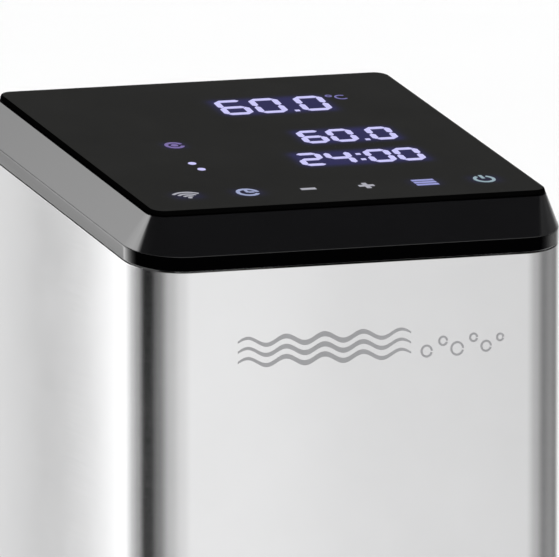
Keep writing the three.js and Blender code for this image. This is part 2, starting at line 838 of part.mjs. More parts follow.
// A cup with a water outlet in its front and finger grips round its sides and back.
function makeOutletCap() {
  const [edge, floor, wall, spigotTop] = [2, 3, 2, 24];
  const shoulder = skirtBottom - gap;
  const cup = turned([
    [0, 0],
    [skirtRadius - edge, 0],
    [skirtRadius, edge],
    [skirtRadius, shoulder],
    [insideSkirt, shoulder],
    [insideSkirt, spigotTop],
    [insideSkirt - wall, spigotTop],
    [insideSkirt - wall, floor],
    [0, floor],
  ], fine);
  const outlet = wedge(skirtRadius + 3, insideSkirt - 4.2, -130, -50, 4.5, 13, 4);
  const gripCount = 8;
  const grips = repeated(gripCount, (i) => {
    const degrees = -10 + (i * 200) / (gripCount - 1);
    return rod(2, 4, 14, 6)
      .translate(skirtRadius + 1.1, 0, 0)
      .rotateZ(THREE.MathUtils.degToRad(degrees));
  });
  return cut(cup, outlet, ...grips);
}

add('column_skirt', 'steel', makeSkirt());
add('outlet_cap', 'black', makeOutletCap());

// ---------------------------------------------------------------- clamp

// The bridge seen from above: it narrows from the collar to the leg, with rounded back corners.
function bridgePlan() {
  const corner = 4;
  const [centreX, centreY] = [bridgeHalf - corner, legBack - corner];
  const plan = new THREE.Shape();
  plan.moveTo(-27, 20);
  plan.lineTo(27, 20);
  plan.lineTo(bridgeHalf, 60);
  plan.lineTo(bridgeHalf, centreY);
  plan.absarc(centreX, centreY, corner, 0, Math.PI / 2, false);
  plan.absarc(-centreX, centreY, corner, Math.PI / 2, Math.PI, false);
  plan.lineTo(-bridgeHalf, 60);
  return plan;
}

// The leg seen from behind: a tongue with rounded lower corners.
function legOutline() {
  const corner = 8;
  const [centreX, centreZ] = [bridgeHalf - corner, legBottom + corner];
  const top = bridgeBottom + 4;
  const outline = new THREE.Shape();
  outline.moveTo(-bridgeHalf, top);
  outline.lineTo(-bridgeHalf, centreZ);
  outline.absarc(-centreX, centreZ, corner, Math.PI, (3 * Math.PI) / 2, false);
  outline.absarc(centreX, centreZ, corner, (3 * Math.PI) / 2, 2 * Math.PI, false);
  outline.lineTo(bridgeHalf, top);
  return outline;
}

// Two stiffening ribs run from the collar to the leg along the top of the bridge.
function makeRibs() {
  const foot = bridgeTop - 2;
  const side = outlined([[36, foot], [74, foot], [70, bridgeTop + 6], [37, collarTop - 1]]);
  return [-10, 10].map((x) =>
    raised(side, -1.5, 1.5).rotateX(Math.PI / 2).rotateZ(Math.PI / 2).translate(x, 0, 0));
}

function makeBracket() {
  const collar = ring(collarRadius, collarBore, collarBottom, collarTop, fine);
  const plan = bridgePlan();
  const hollow = rod(collarBore + 1.6, bridgeBottom - 1, bridgeTop + 1, fine);
  const bridge = cut(raised(plan, bridgeBottom, bridgeTop), hollow);
  const jaw = block([-16, collarBore - 0.2, jawBottom], [16, jawFace, collarBottom + 2]);
  const tongue = raised(legOutline(), 0, legBack - legFront)
    .rotateX(Math.PI / 2)
    .translate(0, legBack, 0);
  const leg = kept(tongue, raised(plan, legBottom - 1, bridgeTop));
  const ears = [-earOutside, earInside].map((left) =>
    block([left, -50, lockZ - 7], [left + earOutside - earInside, -34, lockZ + 7]));
  const split = block([-earInside, -45, collarBottom - 1], [earInside, -25, collarTop + 1]);
  const boltHole = alongX(rod(2.6, -20, 20, coarse)).translate(0, lockY, lockZ);
  const insertHole = alongY(rod(6.5, -20, 20, rounded)).translate(0, legBack, screwZ);
  return cut(joined(collar, bridge, ...makeRibs(), jaw, leg, ...ears), split, boltHole, insertHole);
}

function makeLiner() {
  const outer = collarBore - 0.4;
  const liner = ring(outer, outer - linerThickness, collarBottom + 2, collarTop - 2, fine);
  return cut(liner, block([-4, -45, collarBottom], [4, -25, collarTop]));
}

add('clamp_bracket', 'black', makeBracket());
add('collar_liner', 'rubber', makeLiner());

function makeJawPad() {
  const [low, high] = [jawBottom + 2, jawBottom + 32];
  const grooveWidth = 1.5;
  const groovePitch = 6.5;
  const pad = block([-14, jawFace + gap, low], [14, jawFace + 2.8, high]);
  const grooves = repeated(4, (i) => {
    const z = low + 4.5 + i * groovePitch;
    return block([-15, jawFace + 2, z], [15, jawFace + 4, z + grooveWidth]);
  });
  return cut(pad, ...grooves);
}

// A brass sleeve through the leg takes the screw's thread.
function makeInsert() {
  const proud = 0.4;
  const sleeve = ring(6.1, screwRadius + 0.4, legFront - proud, legBack + proud, rounded);
  return alongY(sleeve).translate(0, 0, screwZ);
}

add('fixed_jaw_pad', 'rubber', makeJawPad());
add('threaded_insert', 'brass', makeInsert());

// Lock: a cross bolt through the collar's ears, drawn tight by a cam lever.
function makeLockBolt() {
  const bolt = joined(
    alongX(rod(2.2, -12.5, leverPivotX + 2.2, coarse)),
    alongX(rod(4.6, -13.5, -earOutside - gap, 6)),
  ).translate(0, lockY, lockZ);
  const pinHole = rod(leverPinRadius + 0.4, lockZ - 6, lockZ + 6, coarse);
  return cut(bolt, pinHole.translate(leverPivotX, lockY, 0));
}

function makeLeverPin() {
  const [low, high] = [lockZ - 6.6, lockZ + 6.6];
  const [headRadius, headHeight] = [2.6, 1.2];
  const pin = turned([
    [0, low],
    [headRadius, low],
    [headRadius, low + headHeight],
    [leverPinRadius, low + headHeight],
    [leverPinRadius, high - headHeight],
    [headRadius, high - headHeight],
    [headRadius, high],
    [0, high],
  ], coarse);
  return pin.translate(leverPivotX, lockY, 0);
}

// A hooked arm on a round cam; the middle of the cam is open for the bolt's end.
function makeLever() {
  const [low, high] = [lockZ - 5, lockZ + 5];
  const arm = new THREE.Shape();
  arm.moveTo(0, -2);
  arm.lineTo(36, -2);
  arm.quadraticCurveTo(41, -2, 42, -5);
  arm.lineTo(45.5, -4);
  arm.quadraticCurveTo(44, 2, 38, 2);
  arm.lineTo(0, 2);
  const lever = cut(
    joined(rod(6.2, low, high, medium), raised(arm, low, high, 3)),
    rod(8.5, lockZ - 2.7, lockZ + 2.7, medium),
    rod(leverPinRadius + 0.4, low - 1, high + 1, coarse),
  );
  return lever.rotateZ(leverAngle).translate(leverPivotX, lockY, 0);
}

add('lock_bolt', 'zinc', makeLockBolt());
add('lever_pin', 'zinc', makeLeverPin());
add('lock_lever', 'black', makeLever());

// Screw, swivel pad and knob, along Y.
const faceThickness = 2;
const cupFront = padFront + faceThickness + gap;
const cupBack = padFront + 6.3;
const cupFloor = 1.5;
const screwFront = cupFront + cupFloor + gap;
const knobFront = legBack + screwTravel + 1.5;
const knobDepth = 14;
const knobRadius = 14;
const knobLobes = 6;
const lobeHeight = 1.4;
const screwGrip = 9; // length of the screw inside the knob

function onScrewAxis(geometry) {
  return alongY(geometry).translate(0, 0, screwZ);
}

function makePressurePad() {
  const screwHole = screwRadius + 0.4;
  return onScrewAxis(turned([
    [0, cupFront],
    [11, cupFront],
    [11, cupFront + 2],
    [8, cupBack],
    [screwHole, cupBack],
    [screwHole, cupFront + cupFloor],
    [0, cupFront + cupFloor],
  ], rounded));
}

function makeKnob() {
  const outline = outlined(repeated(fine, (i) => {
    const angle = (i * 2 * Math.PI) / fine;
    const radius = knobRadius + lobeHeight * Math.cos(knobLobes * angle);
    return [radius * Math.cos(angle), radius * Math.sin(angle)];
  }));
  const bevel = 1.5;
  const settings = {
    depth: knobDepth - 2 * bevel,
    bevelThickness: bevel,
    bevelSize: bevel,
    bevelOffset: -bevel,
    bevelSegments: 1,
  };
  const grip = new THREE.ExtrudeGeometry(outline, settings).translate(0, 0, knobFront + bevel);
  const bore = rod(screwRadius + 0.4, knobFront - 1, knobFront + screwGrip + 0.5, rounded);
  return onScrewAxis(cut(grip, bore));
}

add('pad_face', 'rubber', onScrewAxis(rod(10.4, padFront, padFront + faceThickness, rounded)));
add('pressure_pad', 'zinc', makePressurePad());
add('clamp_screw', 'zinc', onScrewAxis(rod(screwRadius, screwFront, knobFront + screwGrip, rounded)));
add('screw_knob', 'black', makeKnob());

export default group;
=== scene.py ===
# The looks of a sous vide circulator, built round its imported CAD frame.
# Shapes are in millimetres in the frame's axes, +Z up and the front at -Y, and become metres when made.

import json
import math

import bmesh
import bpy
from mathutils import Matrix, Vector

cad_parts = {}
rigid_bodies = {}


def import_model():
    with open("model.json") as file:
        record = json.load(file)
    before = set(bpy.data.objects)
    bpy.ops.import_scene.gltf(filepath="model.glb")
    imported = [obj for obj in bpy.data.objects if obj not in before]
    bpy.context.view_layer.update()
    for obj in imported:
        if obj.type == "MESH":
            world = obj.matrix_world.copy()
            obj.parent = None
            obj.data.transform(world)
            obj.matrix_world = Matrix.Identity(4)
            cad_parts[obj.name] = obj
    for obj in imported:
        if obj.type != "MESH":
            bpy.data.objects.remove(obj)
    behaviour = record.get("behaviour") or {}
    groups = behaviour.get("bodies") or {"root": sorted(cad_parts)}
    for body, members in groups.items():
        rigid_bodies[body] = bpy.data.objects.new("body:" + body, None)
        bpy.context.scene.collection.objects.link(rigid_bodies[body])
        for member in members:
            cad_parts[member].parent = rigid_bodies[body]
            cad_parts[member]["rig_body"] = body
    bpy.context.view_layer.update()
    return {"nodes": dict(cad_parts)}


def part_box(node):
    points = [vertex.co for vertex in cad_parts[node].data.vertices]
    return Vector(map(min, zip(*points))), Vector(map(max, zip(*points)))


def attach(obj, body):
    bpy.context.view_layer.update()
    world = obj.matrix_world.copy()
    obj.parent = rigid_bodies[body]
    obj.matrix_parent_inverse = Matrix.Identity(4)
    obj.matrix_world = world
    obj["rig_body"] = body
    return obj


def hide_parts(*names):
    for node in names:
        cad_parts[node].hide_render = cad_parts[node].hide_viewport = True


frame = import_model()
scene = bpy.context.scene
nodes = frame["nodes"]
slot_of = {name: node.data.materials[0].name for name, node in nodes.items()}

MM = 0.001
GAP = 0.3


def low_high(node):
    """A CAD node's lowest and highest corner, in millimetres."""
    low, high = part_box(node)
    return low / MM, high / MM


# ---- measures taken from the frame

sleeve_low, sleeve_high = low_high("head_shell")
skirt_low, skirt_high = low_high("column_skirt")
screw_low, screw_high = low_high("clamp_screw")

HEAD_WIDTH = sleeve_high.x - sleeve_low.x
HEAD_CORNER = 12.4  # radius of the sleeve's upright edges
SLEEVE_WALL = 1.2
LEAN = math.tan(math.radians(9.1))  # the panel's slope, down towards the front
PANEL_WIDTH = 100.3
PANEL_CORNER = 3.3
PANEL_Z = low_high("touch_glass")[1].z - PANEL_WIDTH / 2 * LEAN  # height of the panel's centre
BEVEL_DROP = 9.6  # height of the cap's bevel
RIM_HEIGHT = 3.5
GLASS_THICKNESS = 1.0
BASE_BOTTOM = low_high("head_base")[0].z
BASE_TOP = 172
SKIRT_RADIUS = skirt_high.x
SKIRT_WALL = 1.2


# ---- shapes: vertices and faces in millimetres

PAST = 1  # how far a cutter reaches past the face that it opens


def round_about(steps):
    """Cosines and sines at equal steps round a circle."""
    angles = [2 * math.pi * i / steps for i in range(steps)]
    return [(math.cos(a), math.sin(a)) for a in angles]


def lathe(profile, steps=96):
    """A solid of revolution; its (radius, z) profile ends on the axis or on its first point."""
    verts, faces, rings = [], [], []
    closed = profile[0] == profile[-1]
    for radius, z in profile[:-1] if closed else profile:
        start = len(verts)
        if radius < 1e-6:
            verts.append((0, 0, z))
        else:
            verts += [(radius * x, radius * y, z) for x, y in round_about(steps)]
        rings.append(range(start, len(verts)))
    pairs = list(zip(rings, rings[1:]))
    if closed:
        pairs.append((rings[-1], rings[0]))
    for lower, upper in pairs:
        for i in range(steps):
            j = (i + 1) % steps
            if len(lower) == 1 and len(upper) > 1:
                faces.append((lower[0], upper[i], upper[j]))
            elif len(upper) == 1 and len(lower) > 1:
                faces.append((lower[i], lower[j], upper[0]))
            elif len(lower) > 1:
                faces.append((lower[i], lower[j], upper[j], upper[i]))
    return verts, faces


def rod(radius, z0, z1, steps=48):
    return lathe([(0, z0), (radius, z0), (radius, z1), (0, z1)], steps)


def ring(outer, inner, z0, z1, steps=96):
    return lathe([(inner, z0), (outer, z0), (outer, z1), (inner, z1), (inner, z0)], steps)


def stacked(outlines, hollow=False):
    """A solid through closed outlines with equally many points, flat at its ends or back at its first."""
    count = len(outlines[0])
    verts = [point for outline in outlines for point in outline]
    faces = [] if hollow else [tuple(range(count))[::-1], tuple(range(len(verts) - count, len(verts)))]
    for low in range(0, len(verts) - (0 if hollow else count), count):
        high = (low + count) % len(verts)
        for i in range(count):
            j = (i + 1) % count
            faces.append((low + i, low + j, high + j, high + i))
    return verts, faces


def arc(x, y, radius, start, end, steps=8):
    """Points along an arc, in degrees."""
    angles = [math.radians(start + (end - start) * i / steps) for i in range(steps + 1)]
    return [(x + radius * math.cos(a), y + radius * math.sin(a)) for a in angles]


def rounded_square(width, radius, steps=14):
    reach = width / 2 - radius
    corners = ((1, 1, 0), (-1, 1, 90), (-1, -1, 180), (1, -1, 270))
    return [p for sx, sy, a in corners for p in arc(sx * reach, sy * reach, radius, a, a + 90, steps)]


def slot_outline(length, width, steps=10):
    reach = length / 2 - width / 2
    return arc(reach, 0, width / 2, -90, 90, steps) + arc(-reach, 0, width / 2, 90, 270, steps)


def prism(outline, z0, z1):
    """A flat outline given height."""
    return stacked([[(x, y, z) for x, y in outline] for z in (z0, z1)])


def block(low, high):
    (x0, y0, z0), (x1, y1, z1) = low, high
    return prism([(x0, y0), (x1, y0), (x1, y1), (x0, y1)], z0, z1)


def upright(outline, y0, y1, z=0):
    """An outline drawn in x and z, given depth along Y."""
    return moved(turned(prism(outline, -y1, -y0), 90, "X"), 0, 0, z)


def loft(levels):
    """A solid through a stack of rounded squares, each level (z, width, corner radius)."""
    return stacked([
        [(x, y, z) for x, y in rounded_square(width, radius)] for z, width, radius in levels
    ])


def wedge(outer, inner, start, end, z0, z1, steps=24):
    """A sector of a ring between two angles in degrees."""
    outline = arc(0, 0, outer, start, end, steps) + arc(0, 0, inner, end, start, steps)
    return prism(outline, z0, z1)


def tube(points, radius, sides):
    """A round rod along a path, with flat ends, its section carried along without twist."""
    path = [Vector(p) for p in points]
    tangents = [(b - a).normalized() for a, b in zip([path[0]] + path[:-1], path[1:] + [path[-1]])]
    side = tangents[0].orthogonal().normalized()
    sections = []
    for point, tangent in zip(path, tangents):
        side = (side - tangent * side.dot(tangent)).normalized()
        other = tangent.cross(side)
        sections.append([tuple(point + radius * (side * x + other * y)) for x, y in round_about(sides)])
    return stacked(sections)


def changed(shape, matrix):
    verts, faces = shape
    return [tuple(matrix @ Vector(v)) for v in verts], faces


def moved(shape, x=0, y=0, z=0):
    return changed(shape, Matrix.Translation((x, y, z)))


def turned(shape, degrees, axis="Z"):
    return changed(shape, Matrix.Rotation(math.radians(degrees), 4, axis))


def spun(shape, count, start=0):
    """Copies of a shape at equal steps round the column's axis."""
    return [turned(shape, start + i * 360 / count) for i in range(count)]


def along_x(shape):
    return turned(shape, 90, "Y")


def along_y(shape):
    return turned(shape, -90, "X")


def leaned(shape, z=PANEL_Z):
    """Leans a piece made flat at height 0 to lie parallel to the panel, with upright sides."""
    verts, faces = shape
    return [(x, y, z + v + y * LEAN) for x, y, v in verts], faces


# ---- objects


def linked(name, data):
    obj = bpy.data.objects.new(name, data)
    scene.collection.objects.link(obj)
    return obj


def made(name, *shapes):
    """One object from one or more separate closed shapes."""
    bm = bmesh.new()
    for verts, faces in shapes:
        corners = [bm.verts.new(Vector(v) * MM) for v in verts]
        for face in faces:
            bm.faces.new([corners[i] for i in face])
    bmesh.ops.recalc_face_normals(bm, faces=bm.faces)
    mesh = bpy.data.meshes.new(name)
    bm.to_mesh(mesh)
    bm.free()
    return linked(name, mesh)


def combined(obj, operation, shapes):
    """Joins or cuts an object with shapes or other objects, which are used up."""
    cutters = [s if isinstance(s, bpy.types.Object) else made("cutter", s) for s in shapes]
    for cutter in cutters:
        modifier = obj.modifiers.new("boolean", "BOOLEAN")
        modifier.operation = operation
        modifier.solver = "EXACT"
        modifier.object = cutter
    depsgraph = bpy.context.evaluated_depsgraph_get()
    mesh = bpy.data.meshes.new_from_object(obj.evaluated_get(depsgraph))
    obj.modifiers.clear()
    obj.data = mesh
    for cutter in cutters:
        bpy.data.objects.remove(cutter)
    return obj


def cut(obj, *shapes):
    return combined(obj, "DIFFERENCE", shapes)


def fused(obj, *shapes):
    return combined(obj, "UNION", shapes)


def merged(obj, distance):
    """Draws corners nearer than a distance together, so that an edge has room for its rounding."""
    bm = bmesh.new()
    bm.from_mesh(obj.data)
    bmesh.ops.remove_doubles(bm, verts=bm.verts, dist=distance * MM)
    bmesh.ops.dissolve_degenerate(bm, edges=bm.edges, dist=distance * MM / 10)
    bm.to_mesh(obj.data)
    bm.free()
    return obj


def piece(obj, node, slot=None, finish=None, stands=True, edge=0, segments=2, angle=32, clamp=True):
    """Finishes an object like a CAD node and sets it on the node's body; it may stand for the node."""
    slot = slot or slot_of[node]
    obj.data.materials.clear()
    obj.data.materials.append(finish or finishes[slot])
    for polygon in obj.data.polygons:
        polygon.use_smooth = True
    if edge:
        bevel = obj.modifiers.new("edges", "BEVEL")
        bevel.width = edge * MM
        bevel.segments = segments
        bevel.limit_method = "ANGLE"
        bevel.angle_limit = math.radians(angle)
        bevel.miter_outer = "MITER_ARC"
        bevel.use_clamp_overlap = clamp
        # black plastic's rounded edges take the paler finish, a painted edge highlight
        if slot in painted_edge_highlights and not finish:
            obj.data.materials.append(painted_edge_highlights[slot])
            bevel.material = 1
    normals = obj.modifiers.new("normals", "WEIGHTED_NORMAL")
    normals.weight = 80  # favours the large faces, so that rounded edges don't shade them
    normals.keep_sharp = True
    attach(obj, nodes[node]["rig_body"])
    if stands:
        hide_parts(node)
    return obj


# ---- materials


class Nodes:
    """Shorthand for building a node tree."""

    def __init__(self, tree):
        self.tree = tree

    def node(self, kind, **settings):
        node = self.tree.nodes.new("ShaderNode" + kind)
        for name, value in settings.items():
            setattr(node, name, value)
        return node

    def link(self, source, target):
        self.tree.links.new(source, target)

    def feed(self, socket, value):
        if isinstance(value, bpy.types.NodeSocket):
            self.link(value, socket)
        elif isinstance(value, (tuple, list)):
            socket.default_value = (*value[:3], 1) if len(socket.default_value) == 4 else value
        else:
            socket.default_value = value

    def fill(self, node, **values):
        """Sets or links a node's inputs, with underscores for the spaces in their names."""
        for name, value in values.items():
            self.feed(node.inputs[name.replace("_", " ")], value)

    def maths(self, operation, *values):
        node = self.node("Math", operation=operation)
        for socket, value in zip(node.inputs, values):
            self.feed(socket, value)
        return node.outputs["Value"]

    def ranged(self, value, low, high, to_low=0.0, to_high=1.0, smooth=False):
        node = self.node("MapRange", interpolation_type="SMOOTHSTEP" if smooth else "LINEAR")
        for socket, number in zip(node.inputs, (value, low, high, to_low, to_high)):
            self.feed(socket, number)
        return node.outputs["Result"]

    def mixed(self, factor, first, second):
        """A colour between two others."""
        node = self.node("Mix", data_type="RGBA")
        colours = [socket for socket in node.inputs if socket.type == "RGBA"]
        self.feed(node.inputs["Factor"], factor)
        self.feed(colours[0], first)
        self.feed(colours[1], second)
        return [socket for socket in node.outputs if socket.type == "RGBA"][0]

    def blended(self, factor, first, second):
        """A shader between two others."""
        node = self.node("MixShader")
        for socket, source in zip(node.inputs, (factor, first, second)):
            self.link(source, socket)
        return node.outputs["Shader"]

    def split(self, vector):
        parts = self.node("SeparateXYZ")
        self.fill(parts, Vector=vector)
        return parts.outputs

    def ramp(self, value, stops):
        """A grey that follows (position, tone) stops."""
        node = self.node("ValToRGB")
        node.color_ramp.interpolation = "EASE"
        while len(node.color_ramp.elements) < len(stops):
            node.color_ramp.elements.new(0.5)
        for element, (position, tone) in zip(node.color_ramp.elements, stops):
            element.position = position
            element.color = (tone, tone, tone, 1)
        self.fill(node, Fac=value)
        return node.outputs["Color"]


class Surface(Nodes):
    """A procedural material: grain in the bump and the roughness, and slow mottling in the colour."""

    def __init__(self, name, colour, roughness, metallic=0.0, scale=900, stretch=(1, 1, 1), depth=0.02,
                 colour_spread=0.08, rough_spread=0.05, mottle=45, bow=0.0, **sockets):
        self.name = name
        self.material = bpy.data.materials.new(name)
        self.material.use_nodes = True
        super().__init__(self.material.node_tree)
        self.shader = self.tree.nodes["Principled BSDF"]
        self.place = self.node("TexCoord").outputs["Object"]
        grain = self.noise(scale, stretch, detail=4)
        slow = self.noise(mottle, (1, 1, 1), detail=3)
        dark = [c * (1 - colour_spread) for c in colour]
        light = [min(1, c * (1 + colour_spread)) for c in colour]
        both = self.maths("ADD", self.maths("MULTIPLY", grain, 0.6), self.maths("MULTIPLY", slow, 0.4))
        rough = self.ranged(both, 0.3, 0.7, roughness - rough_spread, roughness + rough_spread)
        height = self.maths("MULTIPLY", grain, depth * MM)
        if bow:
            height = self.maths("SUBTRACT", height, self.bulge(bow))
        bump = self.node("Bump")
        self.fill(bump, Distance=1.0, Height=height)
        self.fill(self.shader, Base_Color=self.mixed(slow, dark, light), Metallic=metallic, Roughness=rough,
                  Normal=bump.outputs["Normal"], **sockets)

    def noise(self, scale, stretch, detail=4):
        mapping = self.node("Mapping")
        self.fill(mapping, Scale=stretch, Vector=self.place)
        noise = self.node("TexNoise")
        self.fill(noise, Scale=scale, Detail=detail, Vector=mapping.outputs["Vector"])
        return noise.outputs["Fac"]

    def bulge(self, slope):
        """How far sheet walls fall away from their middles, for a slope given per metre."""
        place = self.split(self.place)
        square = self.maths("ADD", *[self.maths("MULTIPLY", place[axis], place[axis]) for axis in "XY"])
        return self.maths("MULTIPLY", square, slope / 2)


def brushed(name, colour, roughness, stretch, anisotropy=0.0, **settings):
    """Metal with drawn grain: fine lines across the stretched direction."""
    surface = Surface(name, colour, roughness, 1.0, stretch=stretch, colour_spread=0.03, **settings)
    if anisotropy:
        tangent = surface.node("Tangent", direction_type="RADIAL", axis="Z").outputs["Tangent"]
        quarter_turn = 0.25
        surface.fill(surface.shader, Anisotropic=anisotropy, Anisotropic_Rotation=quarter_turn,
                     Tangent=tangent)
    return surface


ROUND_Z = (0.02, 0.02, 3.0)  # grain running round the upright axis

finishes = {surface.name: surface.material for surface in (  # named as the CAD's slots are
    brushed("sleeve_steel", (0.80, 0.80, 0.805), 0.17, ROUND_Z, anisotropy=0.5, scale=1800, depth=0.0012,
            rough_spread=0.03, bow=1.1),
    brushed("column_steel", (0.72, 0.72, 0.73), 0.28, ROUND_Z, anisotropy=0.5, scale=1500, depth=0.006),
    brushed("polished_steel", (0.70, 0.70, 0.71), 0.16, (1, 1, 1), scale=1200, depth=0.003),
    Surface("zinc_steel", (0.56, 0.57, 0.59), 0.34, 1.0, scale=1400, depth=0.006),
    Surface("aluminium", (0.62, 0.63, 0.64), 0.38, 1.0, scale=1600, depth=0.006),
    Surface("brass", (0.68, 0.47, 0.17), 0.3, 1.0, scale=1300, depth=0.005),
    brushed("copper_winding", (0.62, 0.26, 0.12), 0.35, (0.05, 0.05, 1), scale=2600, depth=0.05),
    Surface("cap_gloss_black", (0.004, 0.004, 0.0045), 0.07, scale=260, depth=0.0006, rough_spread=0.02,
            colour_spread=0.2),
    Surface("panel_glass", (0.006, 0.006, 0.0075), 0.06, scale=150, depth=0.0003),
    Surface("black_plastic", (0.022, 0.022, 0.023), 0.36, scale=2300, depth=0.02, rough_spread=0.07,
            colour_spread=0.15),
    Surface("black_rubber", (0.022, 0.022, 0.023), 0.78, scale=1500, depth=0.04, colour_spread=0.2),
    Surface("silicone_red", (0.30, 0.045, 0.03), 0.62, scale=1200, depth=0.02),
    Surface("board_green", (0.02, 0.13, 0.05), 0.42, scale=700, depth=0.03, colour_spread=0.3),
    Surface("transformer_yellow", (0.68, 0.46, 0.06), 0.35, scale=500, depth=0.05),
    Surface("display_light", (0.78, 0.78, 0.76), 0.45, scale=900, depth=0.02),
    Surface("mark_ink", (0.36, 0.36, 0.37), 0.5, scale=2600, depth=0.01, metallic=0.3),
)}
painted_edge_highlights = {  # a paler, glossier finish on the rounded edges: a painted highlight along the edges, uneven in patches
    "black_plastic": Surface("painted_highlight_plastic", (0.058, 0.058, 0.060), 0.27, scale=2300, depth=0.01,
                             rough_spread=0.09, colour_spread=0.55, mottle=240).material,
}


def rim_finish():
    """Black plastic with a satin face that turns glossy at a glancing angle."""
    surface = Surface("rim_black", (0.0006, 0.0006, 0.0007), 0.3, scale=700, depth=0.002,
                      Specular_IOR_Level=0.0)
    gloss = surface.node("BsdfPrincipled")
    surface.fill(gloss, Base_Color=(0.004, 0.004, 0.004), Roughness=0.12, Specular_IOR_Level=1.0,
                 Coat_Weight=1.0, IOR=1.86)
    facing = surface.node("LayerWeight")
    glancing = surface.ranged(facing.outputs["Facing"], 0.25, 0.6, smooth=True)
    both = surface.blended(glancing, surface.shader.outputs["BSDF"], gloss.outputs["BSDF"])
    surface.fill(surface.tree.nodes["Material Output"], Surface=both)
    return surface.material


rim_black = rim_finish()
glass_edge = Surface("glass_edge", (0.001, 0.001, 0.001), 0.6, scale=900, depth=0.003,
                     Specular_IOR_Level=0.0).material

for node in nodes:
    nodes[node].data.materials[0] = finishes[slot_of[node]]


# ---- camera, lights and floor

ROOM_FADE = (0.20, 0.42)  # sines of the elevations over which the room darkens
ROOM_TOP_TONE = 0.06
CAMERA_AZIMUTH = math.radians(-22.44)
CAMERA_ELEVATION = math.radians(8.2)
CAMERA_DISTANCE = 3.6
CAMERA_LENS = 975.8
AIM_RIGHT = 2.07  # millimetres from the panel's centre
AIM_UP = -32.8
SUN_PLACE = Vector((0.3, -0.8, 3.0))
SUN_STRENGTH = 3.4
SUN_WIDTH = math.radians(50)
FLOOR_REACH = 30000

back = Vector((
    math.sin(CAMERA_AZIMUTH) * math.cos(CAMERA_ELEVATION),
    -math.cos(CAMERA_AZIMUTH) * math.cos(CAMERA_ELEVATION),
    math.sin(CAMERA_ELEVATION),
))
right = Vector((math.cos(CAMERA_AZIMUTH), math.sin(CAMERA_AZIMUTH), 0))
aim = (Vector((0, 0, PANEL_Z)) + right * AIM_RIGHT + back.cross(right) * AIM_UP) * MM
camera = linked("camera", bpy.data.cameras.new("camera"))
camera.data.lens = CAMERA_LENS
camera.data.sensor_width = 36
camera.data.clip_start = 0.1
camera.data.clip_end = 60
camera.location = aim + back * CAMERA_DISTANCE
camera.rotation_mode = "QUATERNION"
camera.rotation_quaternion = (-back).to_track_quat("-Z", "Y")
bpy.context.scene.camera = camera
scene.view_settings.view_transform = "Standard"


def make_world():
    """A pale room: bright near the horizon, darker overhead."""
    world = bpy.data.worlds.new("room")
    scene.world = world
    world.use_nodes = True
    room = Nodes(world.node_tree)
    height = room.split(room.node("TexCoord").outputs["Generated"])["Z"]
    strength = room.ranged(height, *ROOM_FADE, 1.0, ROOM_TOP_TONE, smooth=True)
    room.fill(world.node_tree.nodes["Background"], Color=(1, 1, 1), Strength=strength)


def make_floor():
    floor = made("floor", block((-FLOOR_REACH, -FLOOR_REACH, -10), (FLOOR_REACH, FLOOR_REACH, 0)))
    pale = Surface("pale_floor", (0.9, 0.9, 0.9), 0.6, scale=40, depth=0.0, colour_spread=0.01, mottle=3)
    floor.data.materials.append(pale.material)


def make_sun():
    """A wide soft light from above the front, which reflections don't show."""
    light = bpy.data.lights.new("overhead", "SUN")
    light.energy = SUN_STRENGTH
    light.angle = SUN_WIDTH
    sun = linked("overhead", light)
    sun.location = SUN_PLACE
    sun.rotation_mode = "QUATERNION"
    sun.rotation_quaternion = (-SUN_PLACE).to_track_quat("-Z", "Y")
    sun.visible_glossy = False
    sun.visible_camera = False


TENT_RADIUS = 900
TENT_TOP = 1300
TENT_FADE = (520, 700)  # heights over which the tent turns clear
TENT_TONES = [  # degrees round from +X towards +Y, brightness
    (0, 0.30), (20, 0.25), (42, 0.75), (68, 0.95), (88, 0.66), (106, 0.92), (111.5, 0.80),
    (114, 0.55), (118, 0.78), (123, 1.66), (130, 1.35), (136, 1.24), (146, 0.97), (158, 0.65),
    (172, 0.40), (190, 0.0), (201, 0.0), (218, 0.18), (241, 0.58), (263, 0.82), (284, 0.99),
    (288, 0.95), (291, 0.85), (295, 0.84), (299, 0.80), (320, 0.5), (340, 0.22), (360, 0.30),
]
BOX_BEARINGS = (96, 104, 167, 182)  # degrees over which the slanted softbox comes up and dies away
BOX_START = 118  # degrees
BOX_HEIGHTS = (470, 525, 645, 690)  # at that bearing
BOX_RISE = 2.06  # height gained for each degree
BOX_TONES = (1.9, 7.0)  # brightness over the bearings below
BOX_TURN = (114, 158)


def turns(degrees):
    """Bearings in degrees as parts of a full turn."""
    return [bearing / 360 for bearing in degrees]


